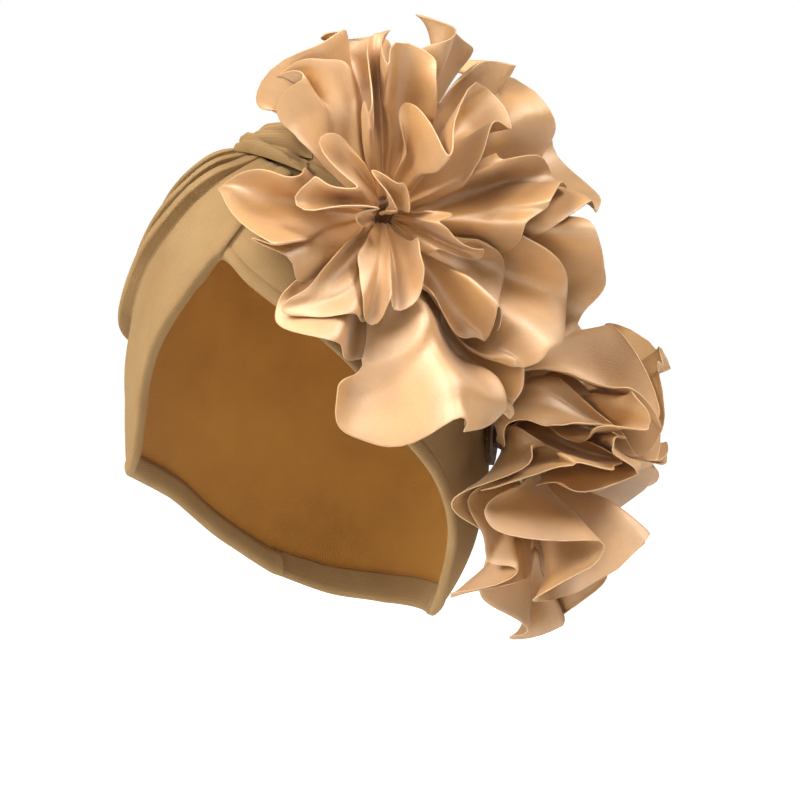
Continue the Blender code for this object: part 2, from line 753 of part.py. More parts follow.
def main():
    """Builds the whole cap."""
    for old in list(bpy.data.objects):
        bpy.data.objects.remove(old)
    cap = bpy.data.collections.new("turban_cap")
    bpy.context.scene.collection.children.link(cap)
    make_crown(cap)
    make_band("right_band", right_lower_edge, RIGHT_UPPER, True, cap)
    make_band("left_band", left_lower_edge, LEFT_UPPER, False, cap)
    for row in TWISTS:
        make_twist(row, cap)
    make_core("upper_core", UPPER_FLOWER, cap)
    make_core("lower_core", LOWER_FLOWER, cap)
    make_flower(UPPER_FLOWER, UPPER_PETALS, 1.0, cap)
    make_flower(LOWER_FLOWER, LOWER_PETALS, -1.0, cap)


main()
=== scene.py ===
"""Looks of a stretch jersey turban cap with a twisted front and two ruffled satin flowers.

Metres, +Z up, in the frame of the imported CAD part. The face opening looks along -Y, and the
flowers sit on the wearer's left, at +X. Turn is the angle round the head in degrees, 0 at the
brow and positive towards the wearer's left. Level is the angle down the head, 0 at its top.
Height is how far a point stands out from the head.
"""

import logging
import math
from collections.abc import Callable
from dataclasses import dataclass, field
from enum import Enum
from typing import Any, NamedTuple

import bmesh
import bpy
import numpy as np
from mathutils import Matrix, Vector


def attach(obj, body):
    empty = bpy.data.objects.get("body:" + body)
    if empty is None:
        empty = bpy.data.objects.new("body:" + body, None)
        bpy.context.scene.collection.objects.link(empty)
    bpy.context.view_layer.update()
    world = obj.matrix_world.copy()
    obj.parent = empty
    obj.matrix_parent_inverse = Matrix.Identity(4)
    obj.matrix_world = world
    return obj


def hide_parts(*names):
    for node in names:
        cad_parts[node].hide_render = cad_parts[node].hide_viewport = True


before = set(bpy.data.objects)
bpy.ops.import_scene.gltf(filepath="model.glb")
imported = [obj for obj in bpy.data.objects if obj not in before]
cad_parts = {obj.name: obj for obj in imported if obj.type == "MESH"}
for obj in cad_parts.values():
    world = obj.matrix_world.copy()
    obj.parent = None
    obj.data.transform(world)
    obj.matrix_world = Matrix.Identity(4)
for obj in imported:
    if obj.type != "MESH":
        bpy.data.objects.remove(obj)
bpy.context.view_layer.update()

log = logging.getLogger("turban_cap")
MM = 0.001
BEAD_MM = 0.9  # how far in from an open edge its bead reaches
BEAD_END = 0.004  # share of the bead's height that is left out as too low
WAVE_PERIOD = 0.31416  # distance between a wave texture's bands at scale 1
Place = Callable[[np.ndarray, np.ndarray], np.ndarray]


class Cloth(Enum):
    """The record's material slots."""

    JERSEY = "jersey"
    SATIN = "satin"
    FELT = "felt"


class KnitSide(Enum):
    """Which side of the jersey shows."""

    FACE = "face"
    REVERSE = "reverse"


class RimRow(NamedTuple):
    """The cap's lower edge: how far down it lies at one turn."""

    turn: float
    level: float


class EdgeRow(NamedTuple):
    """A band's upper edge at one share of its length from the twist."""

    share: float
    turn: float
    level: float


class TwistRow(NamedTuple):
    """One roll of the twist, from its pinched end to the end that lies under the flower.

    height is a share of the tallest roll's.
    """

    name: str
    start_turn: float
    start_level: float
    end_turn: float
    end_level: float
    height: float


class HemRow(NamedTuple):
    """A turned hem's section: in from the fold along the cloth, and height, in millimetres."""

    inward: float
    height: float


class PetalRow(NamedTuple):
    """One petal. Angles are in degrees, and reach is a share of the flower's radius.

    clock: direction round the flower, 0 at its top, clockwise as seen from in front
    lean: angle from the flower's axis
    reach: length
    span: angle that its width takes up
    tilt: how much its right side leans back more than its left
    ruffle: height of its waves at the edge
    waves: half waves across it
    phase: where the waves start
    curl: how much its tip leans back more than its base
    """

    clock: float
    lean: float
    reach: float
    span: float
    tilt: float
    ruffle: float
    waves: float
    phase: float
    curl: float


RIM = (
    RimRow(-180, 141),
    RimRow(-155, 140),
    RimRow(-130, 136),
    RimRow(-108, 127),
    RimRow(-86, 115),
    RimRow(-62, 109),
    RimRow(-44, 106.5),
    RimRow(-34.5, 103),
    RimRow(-29, 96),
    RimRow(-25, 88),
    RimRow(-20, 79.5),
    RimRow(-13.5, 73),
    RimRow(-7.5, 67.5),
    RimRow(-2.5, 62.5),
    RimRow(3.5, 57.5),
    RimRow(16.5, 63.5),
    RimRow(29, 69.5),
    RimRow(40, 75),
    RimRow(52, 83),
    RimRow(65, 95.5),
    RimRow(81.5, 107.5),
    RimRow(93, 119),
    RimRow(103, 133),
    RimRow(116, 139),
    RimRow(132, 141),
    RimRow(180, 141),
)
PEAK_TURN = 3.5

RIGHT_UPPER = (
    EdgeRow(0.0, -13, 24),
    EdgeRow(0.15, -38, 28),
    EdgeRow(0.3, -60, 37),
    EdgeRow(0.6, -92, 54),
    EdgeRow(1.0, -128, 70),
)
RIGHT_LOWER_START = ((27.0, 35.0), (12.0, 47.0))  # turn and level beyond the crossing
LEFT_UPPER = (
    EdgeRow(0.0, -11, 21),
    EdgeRow(0.2, 20, 16),
    EdgeRow(0.4, 56, 29),
    EdgeRow(0.65, 92, 50),
    EdgeRow(1.0, 128, 68),
)
LEFT_START_TURN = -4.0
BAND_BACK_TURN = 128.0
UPPER_SITE = (61.0, 50.0)  # turn and level of each flower's core
LOWER_SITE = (115.0, 100.0)
DIVIDER_SHARE = 0.56  # how far from the upper flower the petals of the two flowers meet
DIVIDER_TILT = 0.6  # how much the upper flower's petals lie over the lower flower's

TWISTS = (
    TwistRow("twist_back", -16, 21.6, 40, 19.0, 0.87),
    TwistRow("twist_upper", -14, 24.7, 38, 26.2, 1.0),
    TwistRow("twist_lower", -12, 27.8, 35, 33.4, 0.85),
)

# Height is measured from the middle of the band's outer layer.
HEM = (
    HemRow(9.0, -3.9),
    HemRow(6.0, -3.9),
    HemRow(3.0, -3.8),
    HemRow(1.2, -3.4),
    HemRow(0.2, -2.8),
    HemRow(-0.4, -1.9),
    HemRow(-0.6, -1.0),
    HemRow(-0.4, -0.2),
    HemRow(0.2, 0.35),
    HemRow(1.2, 0.65),
    HemRow(2.4, 0.75),
    HemRow(3.6, 0.65),
    HemRow(4.6, 0.35),
    HemRow(5.2, -0.05),
    HemRow(5.8, -0.25),
    HemRow(6.5, -0.05),
    HemRow(7.5, 0.0),
)
HEM_INNER = -0.3 * MM  # the hem's rows below this height are its inner layer
HEM_DEPTH = -3.9 * MM

# Height is measured from the head.
NAPE_HEM = (
    HemRow(10.0, -0.6),
    HemRow(6.0, -0.6),
    HemRow(3.0, -0.55),
    HemRow(1.0, -0.4),
    HemRow(0.1, 0.1),
    HemRow(-0.4, 0.9),
    HemRow(-0.5, 1.6),
    HemRow(-0.1, 2.3),
    HemRow(0.8, 2.75),
    HemRow(2.0, 2.9),
    HemRow(4.0, 2.9),
    HemRow(8.0, 2.8),
    HemRow(12.0, 2.7),
    HemRow(14.0, 2.5),
    HemRow(15.0, 2.1),
)

UPPER_PETALS = (
    PetalRow(150, 92, 1.18, 58, 8, 10, 2.0, 20, 10),
    PetalRow(104, 82, 1.18, 54, 6, 8, 1.8, 80, 6),
    PetalRow(72, 84, 1.12, 54, 6, 8, 2.0, 200, 6),
    PetalRow(14, 92, 1.02, 48, 6, 12, 2.2, 120, 4),
    PetalRow(338, 88, 0.95, 46, 8, 12, 2.0, 300, 8),
    PetalRow(322, 80, 0.88, 34, 6, 12, 2.0, 60, 4),
    PetalRow(212, 84, 0.84, 60, 8, 10, 2.0, 160, 8),
    PetalRow(176, 74, 1.26, 56, 6, 12, 2.2, 250, 8),
    PetalRow(130, 70, 1.10, 58, 6, 11, 2.0, 10, 10),
    PetalRow(42, 76, 1.04, 58, 6, 12, 2.0, 100, 8),
    PetalRow(356, 72, 0.94, 46, 6, 16, 2.4, 200, 4),
    PetalRow(264, 74, 0.84, 52, 6, 12, 2.0, 340, 12),
    PetalRow(228, 66, 0.76, 52, 8, 14, 2.2, 90, 12),
    PetalRow(86, 54, 0.92, 64, 8, 16, 2.2, 180, 14),
    PetalRow(148, 48, 0.84, 66, 8, 18, 2.4, 280, 14),
    PetalRow(34, 38, 0.82, 72, 8, 16, 2.2, 30, 14),
    PetalRow(296, 36, 0.66, 70, 8, 16, 2.2, 130, 10),
    PetalRow(200, 32, 0.68, 76, 8, 16, 2.2, 230, 12),
    PetalRow(110, 17, 0.60, 84, 6, 11, 2.0, 320, 8),
    PetalRow(330, 12, 0.46, 104, 6, 12, 2.0, 80, 6),
)

LOWER_PETALS = (
    PetalRow(182, 84, 1.06, 50, 8, 8, 2.0, 40, 6),
    PetalRow(131, 92, 1.00, 48, 6, 8, 2.0, 140, 8),
    PetalRow(91, 91, 0.96, 52, 6, 9, 2.0, 230, 8),
    PetalRow(41, 84, 0.96, 53, 6, 9, 2.0, 320, 6),
    PetalRow(350, 90, 0.86, 58, 6, 8, 2.0, 60, 6),
    PetalRow(300, 96, 0.74, 60, 6, 8, 1.8, 160, 6),
    PetalRow(248, 98, 0.70, 64, 6, 8, 1.8, 60, 6),
    PetalRow(216, 72, 0.92, 60, 8, 12, 2.2, 150, 6),
    PetalRow(164, 62, 1.00, 60, 6, 11, 2.2, 10, 6),
    PetalRow(105, 66, 0.96, 57, 6, 10, 2.2, 110, 8),
    PetalRow(54, 66, 0.90, 58, 6, 10, 2.2, 200, 6),
    PetalRow(321, 71, 0.90, 60, 6, 10, 2.2, 290, 6),
    PetalRow(269, 68, 0.81, 61, 6, 11, 2.2, 20, 6),
    PetalRow(206, 42, 0.96, 72, 6, 14, 2.2, 120, 8),
    PetalRow(136, 40, 0.92, 76, 8, 14, 2.2, 220, 10),
    PetalRow(20, 38, 0.92, 74, 6, 12, 2.2, 310, 8),
    PetalRow(286, 38, 0.84, 84, 8, 14, 2.2, 80, 10),
    PetalRow(88, 15, 0.84, 104, 6, 12, 2.2, 60, 6),
)


def read_table(rows: tuple, column: int, value: Any) -> np.ndarray:
    """Smooth curve through a table's column, with no overshoot between its rows.

    Args:
        rows: the table, whose first column rises.
        column: the column that is read.
        value: where along the first column it is read.

    Returns:
        The column's value at each place.
    """
    x = np.array([row[0] for row in rows], float)
    y = np.array([row[column] for row in rows], float)
    step = np.diff(x)
    rise = np.diff(y) / step
    slope = np.zeros(len(x))
    same_way = rise[:-1] * rise[1:] > 0
    mean = 2 * rise[:-1] * rise[1:] / np.where(same_way, rise[:-1] + rise[1:], 1.0)
    slope[1:-1] = np.where(same_way, mean, 0.0)
    slope[0], slope[-1] = rise[0], rise[-1]
    value = np.clip(np.asarray(value, float), x[0], x[-1])
    i = np.clip(np.searchsorted(x, value, side="right") - 1, 0, len(step) - 1)
    t = (value - x[i]) / step[i]
    return (
        y[i] * (2 * t**3 - 3 * t**2 + 1)
        + y[i + 1] * (3 * t**2 - 2 * t**3)
        + slope[i] * step[i] * (t**3 - 2 * t**2 + t)
        + slope[i + 1] * step[i] * (t**3 - t**2)
    )


def smooth_step(value: Any, low: float, high: float) -> np.ndarray:
    """0 below low, 1 above high, and a smooth rise between."""
    t = np.clip((value - low) / (high - low), 0, 1)
    return t * t * (3 - 2 * t)


@dataclass(frozen=True)
class HeadForm:
    """The form that the cap is worn on, which isn't part of the object and isn't built."""

    width: float = 0.150
    length: float = 0.187
    rise: float = 0.118
    drop: float = 0.106
    width_drawn_in: float = 0.36
    length_drawn_in: float = 0.30
    width_power: float = 3.0
    length_power: float = 4.5
    # A direction off the head is measured over this many degrees to each side.
    step: float = 0.5
    least_level: float = 0.6

    def point(self, turn: Any, level: Any) -> np.ndarray:
        """Points on the head, as an array of rows."""
        turn, level = np.broadcast_arrays(np.asarray(turn, float), np.asarray(level, float))
        above = np.radians(np.minimum(level, 90.0))
        drop = self.rise * np.radians(np.maximum(level - 90.0, 0.0))
        share = drop / self.drop
        width = np.sin(above) - self.width_drawn_in * share**self.width_power
        length = np.sin(above) - self.length_drawn_in * share**self.length_power
        x = self.width / 2 * width * np.sin(np.radians(turn))
        y = -self.length / 2 * length * np.cos(np.radians(turn))
        z = self.rise * (np.cos(above) - 1) - drop
        return np.stack([x, y, z], axis=-1)

    def normal(self, turn: Any, level: Any) -> np.ndarray:
        """Outward directions at right angles to the head."""
        level, step = np.maximum(level, self.least_level), self.step
        round_it = self.point(np.add(turn, step), level) - self.point(np.subtract(turn, step), level)
        down_it = self.point(turn, level + step) - self.point(turn, level - step)
        normal = np.cross(down_it, round_it)
        return normal / np.linalg.norm(normal, axis=-1, keepdims=True)

    def cloth(self, turn: Any, level: Any, height: Any) -> np.ndarray:
        """Points that stand out from the head by height."""
        return self.point(turn, level) + self.normal(turn, level) * np.asarray(height)[..., None]

    def outside(self, points: np.ndarray) -> np.ndarray:
        """About how far points stand out from the head."""
        ray = points - np.array([0.0, 0.0, -self.rise])
        below = np.minimum(ray[:, 2], 0.0)
        share = np.minimum(-below / self.drop, 1.0)
        wide = self.width / 2 * (1 - self.width_drawn_in * share**self.width_power)
        long = self.length / 2 * (1 - self.length_drawn_in * share**self.length_power)
        ray[:, 2] -= below
        ratio = np.linalg.norm(ray / np.stack([wide, long, np.full(len(ray), self.rise)], 1), axis=1)
        return (1 - 1 / ratio) * np.linalg.norm(ray, axis=1)

    def rim(self, turn: Any) -> np.ndarray:
        """Level of the cap's lower edge. Turns may run past 180."""
        return read_table(RIM, 1, (np.asarray(turn, float) + 180.0) % 360.0 - 180.0)


HEAD = HeadForm()


def linear(code: str) -> tuple[float, float, float, float]:
    """A linear colour with alpha from an sRGB hex value such as '#d9b07c'."""
    parts = [int(code[i : i + 2], 16) / 255 for i in (1, 3, 5)]
    red, green, blue = (p / 12.92 if p <= 0.04045 else ((p + 0.055) / 1.055) ** 2.4 for p in parts)
    return red, green, blue, 1.0


def add_node(tree: bpy.types.NodeTree, kind: str, settings: dict, sockets: dict) -> bpy.types.Node:
    """Adds a node to a tree.

    Args:
        tree: the node tree.
        kind: the node's type.
        settings: the node's own properties.
        sockets: for each input's name or number, a value or the output to link to it.

    Returns:
        The new node.
    """
    node = tree.nodes.new(kind)
    for name, value in settings.items():
        setattr(node, name, value)
    for name, value in sockets.items():
        if isinstance(value, bpy.types.NodeSocket):
            tree.links.new(value, node.inputs[name])
        else:
            node.inputs[name].default_value = value
    return node


def add_object(name: str, data: bpy.types.ID) -> bpy.types.Object:
    """A new object in the scene that shows some data."""
    made = bpy.data.objects.new(name, data)
    bpy.context.scene.collection.objects.link(made)
    return made


def facing(turn: float, rise: float) -> tuple[float, float, float]:
    """The direction at a turn round the vertical and a rise above the floor, in degrees."""
    turn, rise = math.radians(turn), math.radians(rise)
    return math.sin(turn) * math.cos(rise), -math.cos(turn) * math.cos(rise), math.sin(rise)


def new_material(name: str) -> tuple[bpy.types.Material, bpy.types.NodeTree]:
    """A new material with no nodes, and its tree."""
    made = bpy.data.materials.new(name)
    made.use_nodes = True
    made.node_tree.nodes.clear()
    return made, made.node_tree


def cloud(tree: bpy.types.NodeTree, scale: float, detail: float,
          distortion: float = 0.0) -> bpy.types.NodeSocket:
    """Noise that is fixed to the piece."""
    body = add_node(tree, "ShaderNodeTexCoord", {}, {})
    noise = add_node(tree, "ShaderNodeTexNoise", {}, {
        "Vector": body.outputs["Object"], "Scale": scale, "Detail": detail,
        "Distortion": distortion})
    return noise.outputs["Fac"]


def scaled_sum(tree: bpy.types.NodeTree, value: bpy.types.NodeSocket, times: float,
               plus: bpy.types.NodeSocket) -> bpy.types.NodeSocket:
    """A value times a number, plus another value."""
    made = add_node(tree, "ShaderNodeMath", {"operation": "MULTIPLY_ADD"},
                    {0: value, 1: times, 2: plus})
    return made.outputs[0]


def two_tones(tree: bpy.types.NodeTree, value: bpy.types.NodeSocket, low: tuple[float, str],
              high: tuple[float, str]) -> bpy.types.NodeSocket:
    """A colour between two, each given as the value where it is reached and a hex code."""
    ramp = add_node(tree, "ShaderNodeValToRGB", {}, {0: value})
    for end, (position, code) in zip(ramp.color_ramp.elements, (low, high)):
        end.position, end.color = position, linear(code)
    return ramp.outputs[0]


def raised(tree: bpy.types.NodeTree, strength: float, depth_mm: float,
           height: bpy.types.NodeSocket) -> bpy.types.NodeSocket:
    """The direction of a face with a fine relief."""
    bump = add_node(tree, "ShaderNodeBump", {}, {
        "Strength": strength, "Distance": depth_mm * MM, "Height": height})
    return bump.outputs[0]


def add_surface(tree: bpy.types.NodeTree, sockets: dict) -> None:
    """The material's shader, with the given sockets, and its output."""
    shader = add_node(tree, "ShaderNodeBsdfPrincipled", {}, sockets)
    add_node(tree, "ShaderNodeOutputMaterial", {}, {0: shader.outputs[0]})


@dataclass(frozen=True)
class StretchJersey:
    """Single jersey of viscose and elastane: a soft knit, matt, with fine ribs of V stitches."""

    side: KnitSide = KnitSide.FACE
    colour: str = "#947a53"
    deep: str = "#856842"
    # A real wale is 0.7 mm wide. It is drawn at 1.2 mm so that the render shows it.
    wale_mm: float = 1.2
    course_mm: float = 0.95
    roughness: float = 0.82
    # How far the legs of a V lean: the face shows them and the reverse hides them.
    slant_face: float = 0.9
    slant_reverse: float = 0.25

    def material(self) -> bpy.types.Material:
        """The finished material. The cloth_mm UV map holds millimetres along the cloth."""
        made, tree = new_material(f"viscose_jersey_{self.side.value}")
        slant = self.slant_face if self.side is KnitSide.FACE else self.slant_reverse
        place = add_node(tree, "ShaderNodeUVMap", {"uv_map": "cloth_mm"}, {})
        parts = add_node(tree, "ShaderNodeSeparateXYZ", {}, {0: place.outputs[0]})
        leg = add_node(tree, "ShaderNodeMath", {"operation": "PINGPONG"},
                       {0: parts.outputs[0], 1: self.wale_mm / 2})
        row = scaled_sum(tree, leg.outputs[0], slant, parts.outputs[1])
        spot = add_node(tree, "ShaderNodeCombineXYZ", {}, {0: parts.outputs[0], 1: row})
        wales = add_node(tree, "ShaderNodeTexWave", {"bands_direction": "X"},
                         {"Vector": spot.outputs[0], "Scale": WAVE_PERIOD / self.wale_mm,
                          "Distortion": 0.0})
        courses = add_node(tree, "ShaderNodeTexWave", {"bands_direction": "Y"},
                           {"Vector": spot.outputs[0], "Scale": WAVE_PERIOD / self.course_mm,
                            "Distortion": 0.6, "Detail": 1.0, "Detail Scale": 0.6})
        loops = add_node(tree, "ShaderNodeMath", {"operation": "MULTIPLY"},
                         {0: wales.outputs["Fac"], 1: courses.outputs["Fac"]})
        mottle = cloud(tree, scale=40.0, detail=3.0)
        fuzz = cloud(tree, scale=900.0, detail=3.0)
        tone = scaled_sum(tree, loops.outputs[0], 0.35, mottle)
        relief = scaled_sum(tree, fuzz, 0.5, loops.outputs[0])
        add_surface(tree, {
            "Base Color": two_tones(tree, tone, (0.25, self.deep), (0.85, self.colour)),
            "Roughness": self.roughness,
            "Normal": raised(tree, strength=0.45, depth_mm=0.25, height=relief),
            "Sheen Weight": 0.2, "Sheen Roughness": 0.55, "Sheen Tint": linear("#f2cf9c"),
            "Specular IOR Level": 0.25})
        return made


@dataclass(frozen=True)
class HeatCutSatin:
    """Polyester satin: smooth long floats with a broad soft gloss, and a heat-cut edge painted paler,
    partly its melted tone and partly a painted highlight.
    """

    colour: str = "#bb8730"
    deep: str = "#885c1a"
    # The edge colour is paler than the body: partly the melted cut edge's own tone, partly a painted
    # highlight along the rolled edge.
    edge: str = "#b88c45"
    # Real floats are 0.1 mm apart. The fine grain is drawn at 0.5 mm so that the render shows it.
    grain_mm: float = 0.5
    grain_squeeze: float = 0.12
    edge_mm: float = 0.28
    edge_fades: tuple[float, float] = (0.5, 1.6)
    # Polyester's own index is about 1.6. The floats lie side by side like small mirrors, so satin
    # gives more gloss than that, and the index is raised to match it.
    index: float = 2.6
    coat_index: float = 2.1
    roughness: float = 0.62

    def material(self) -> bpy.types.Material:
        """The finished material. The edge_mm attribute holds the distance from the cut edge."""
        made, tree = new_material("polyester_satin")
        place = add_node(tree, "ShaderNodeUVMap", {"uv_map": "cloth_mm"}, {})
        along = add_node(tree, "ShaderNodeMapping", {}, {
            "Vector": place.outputs[0],
            "Scale": (1 / self.grain_mm, self.grain_squeeze / self.grain_mm, 1.0)})
        grain = add_node(tree, "ShaderNodeTexNoise", {},
                         {"Vector": along.outputs[0], "Scale": 1.0, "Detail": 2.0})
        speck = cloud(tree, scale=900.0, detail=3.0)
        tone = scaled_sum(tree, grain.outputs["Fac"], 0.25, cloud(tree, scale=30.0, detail=4.0))
        body = two_tones(tree, tone, (0.35, self.deep), (0.8, self.colour))
        # Near the cut edge the colour turns to the paler edge colour: partly the melted edge's tone,
        # partly a painted highlight along it.
        cut = add_node(tree, "ShaderNodeAttribute", {"attribute_name": "edge_mm"}, {})
        first, last = self.edge_fades
        edge_tone_and_highlight = add_node(tree, "ShaderNodeMapRange", {"interpolation_type": "SMOOTHSTEP"}, {
            "Value": cut.outputs["Fac"], "From Min": self.edge_mm * first,
            "From Max": self.edge_mm * last, "To Min": 1.0, "To Max": 0.0})
        colour = add_node(tree, "ShaderNodeMix", {"data_type": "RGBA"}, {
            "Factor": edge_tone_and_highlight.outputs[0], 6: body, 7: linear(self.edge)})
        relief = scaled_sum(tree, speck, 1.1, grain.outputs["Fac"])
        add_surface(tree, {
            "Base Color": colour.outputs[2], "Roughness": self.roughness,
            "Normal": raised(tree, strength=0.6, depth_mm=0.2, height=relief),
            "Sheen Weight": 0.2, "Sheen Roughness": 0.5, "Sheen Tint": linear("#ffefdc"),
            "Specular IOR Level": 0.5, "IOR": self.index, "Specular Tint": linear("#fff8ec"),
            "Anisotropic": 0.2, "Coat Weight": 0.75, "Coat Roughness": 0.64,
            "Coat IOR": self.coat_index, "Coat Tint": linear("#fff6ea")})
        return made


@dataclass(frozen=True)
class PressedFelt:
    """Pressed wool felt: matt, with short tangled fibres."""

    colour: str = "#6e4526"
    deep: str = "#3a2212"

    def material(self) -> bpy.types.Material:
        """The finished material."""
        made, tree = new_material("pressed_felt")
        fibre = cloud(tree, scale=700.0, detail=6.0, distortion=1.5)
        add_surface(tree, {
            "Base Color": two_tones(tree, fibre, (0.3, self.deep), (0.7, self.colour)),
            "Roughness": 0.95, "Normal": raised(tree, strength=0.6, depth_mm=0.4, height=fibre),
            "Sheen Weight": 0.4, "Specular IOR Level": 0.2})
        return made


@dataclass(frozen=True)
class SpunThread:
    """Spun polyester sewing thread: two twisted plies with a low gloss."""

    colour: str = "#b98850"
    ply_mm: float = 0.5

    def material(self) -> bpy.types.Material:
        """The finished material."""
        made, tree = new_material("spun_polyester_thread")
        body = add_node(tree, "ShaderNodeTexCoord", {}, {})
        plies = add_node(tree, "ShaderNodeTexWave", {"bands_direction": "DIAGONAL"}, {
            "Vector": body.outputs["Object"], "Scale": WAVE_PERIOD / (self.ply_mm * MM)})
        add_surface(tree, {
            "Base Color": linear(self.colour), "Roughness": 0.6,
            "Normal": raised(tree, strength=0.5, depth_mm=0.1, height=plies.outputs["Fac"])})
        return made


@dataclass
class ClothSheet:
    """One piece of cloth as a bent grid, with the flat size that it was cut to.

    Args:
        name: the piece's name.
        across: grid lines across the cloth, from -1 to 1.
        along: grid lines along the cloth, from 0 to 1.
        place: turns across and along into points.
        wall: the cloth's thickness.
        edge_wall: thickness at the open edges, where they are turned or melted.
        closed: True where the first and last lines across meet.
        fan: True for a cut like a fan, gathered at its narrow end.
    """

    name: str
    across: np.ndarray
    along: np.ndarray
    place: Place
    wall: float
    edge_wall: float | None = None
    closed: bool = False
    fan: bool = False
    points: np.ndarray = field(init=False)

    def __post_init__(self) -> None:
        """Works out the points of the grid, one row for each line along the cloth."""
        across, along = np.meshgrid(self.across, self.along)
        points = self.place(across.ravel(), along.ravel())
        self.points = points.reshape(len(self.along), len(self.across), 3)

    def lengths(self) -> tuple[np.ndarray, np.ndarray]:
        """Lengths of the grid's sides, across and along, in metres."""
        return (np.linalg.norm(np.diff(self.points, axis=1), axis=2),
                np.linalg.norm(np.diff(self.points, axis=0), axis=2))

    def cut(self) -> tuple[tuple[float, float], float]:
        """Width, length and area of the flat cloth, measured along the middle of the wall."""
        wide, long = self.lengths()
        corner = self.points[:-1, :-1]
        first = np.cross(self.points[1:, :-1] - corner, self.points[1:, 1:] - corner)
        second = np.cross(self.points[1:, 1:] - corner, self.points[:-1, 1:] - corner)
        area = (np.linalg.norm(first, axis=2) + np.linalg.norm(second, axis=2)).sum() / 2
        length = long.sum(0).max()
        width = wide.sum(1).max()
        if self.fan:
            opening = min(2 * area / length**2, math.pi)
            width = 2 * length * math.sin(opening / 2)
        return (float(width), float(length)), float(area)

    def edge_distance(self) -> np.ndarray:
        """Distance of each grid point from the nearest open edge, in millimetres."""
        wide, long = self.lengths()
        u = np.concatenate([np.zeros((len(self.along), 1)), np.cumsum(wide, 1)], 1)
        v = np.concatenate([np.zeros((1, len(self.across))), np.cumsum(long, 0)], 0)
        self.map_u, self.map_v = (u - u[:, -1:] / 2) / MM, v / MM
        distance = v[-1:] - v
        if not self.closed:
            distance = np.minimum(distance, np.minimum(u, u[:, -1:] - u))
        return distance / MM

    def build(self, finish: bpy.types.Material, inner: bpy.types.Material | None = None,
              ) -> bpy.types.Object:
        """Makes the piece, with its wall, its cloth_mm map and its edge_mm attribute.

        Args:
            finish: the material of the outer side.
            inner: the material of the inner side, where it differs.

        Returns:
            The piece.
        """
        rows, columns = self.points.shape[:2]
        edge = self.edge_distance()
        number = np.arange(rows * columns).reshape(rows, columns)
        faces = np.stack([number[:-1, :-1], number[:-1, 1:], number[1:, 1:], number[1:, :-1]], -1)
        mesh = bpy.data.meshes.new(self.name)
        mesh.from_pydata(self.points.reshape(-1, 3), [], faces.reshape(-1, 4).tolist())
        mesh.attributes.new("edge_mm", "FLOAT", "POINT").data.foreach_set(
            "value", edge.ravel().astype(np.float32))
        corners = faces.reshape(-1)
        uv = np.stack([self.map_u.ravel()[corners], self.map_v.ravel()[corners]], -1)
        mesh.uv_layers.new(name="cloth_mm").data.foreach_set("uv", uv.ravel().astype(np.float32))
        mesh.materials.append(finish)
        if inner:
            mesh.materials.append(inner)
        mesh.shade_smooth()
        piece = add_object(self.name, mesh)
        solid = piece.modifiers.new("wall", "SOLIDIFY")
        solid.thickness, solid.offset = self.wall, 0.0
        if inner:
            solid.material_offset = 1
        if self.edge_wall:
            group = piece.vertex_groups.new(name="edge")
            bead = np.exp(-((edge.ravel() / BEAD_MM) ** 2))
            for index, weight in enumerate(bead.tolist()):
                if weight > BEAD_END:
                    group.add([index], weight, "REPLACE")
            solid.vertex_group = "edge"
            solid.thickness = self.edge_wall
            solid.thickness_vertex_group = self.wall / self.edge_wall
        return piece


def dress(piece: bpy.types.Object,
          node: str | None = None) -> None:
    """Attaches a piece of cloth to the cap's root body, and hides the CAD node that it stands for.

    Args:
        piece: the piece.
        node: the CAD node that it stands for.
    """
    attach(piece, "root")
    if node:
        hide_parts(node)


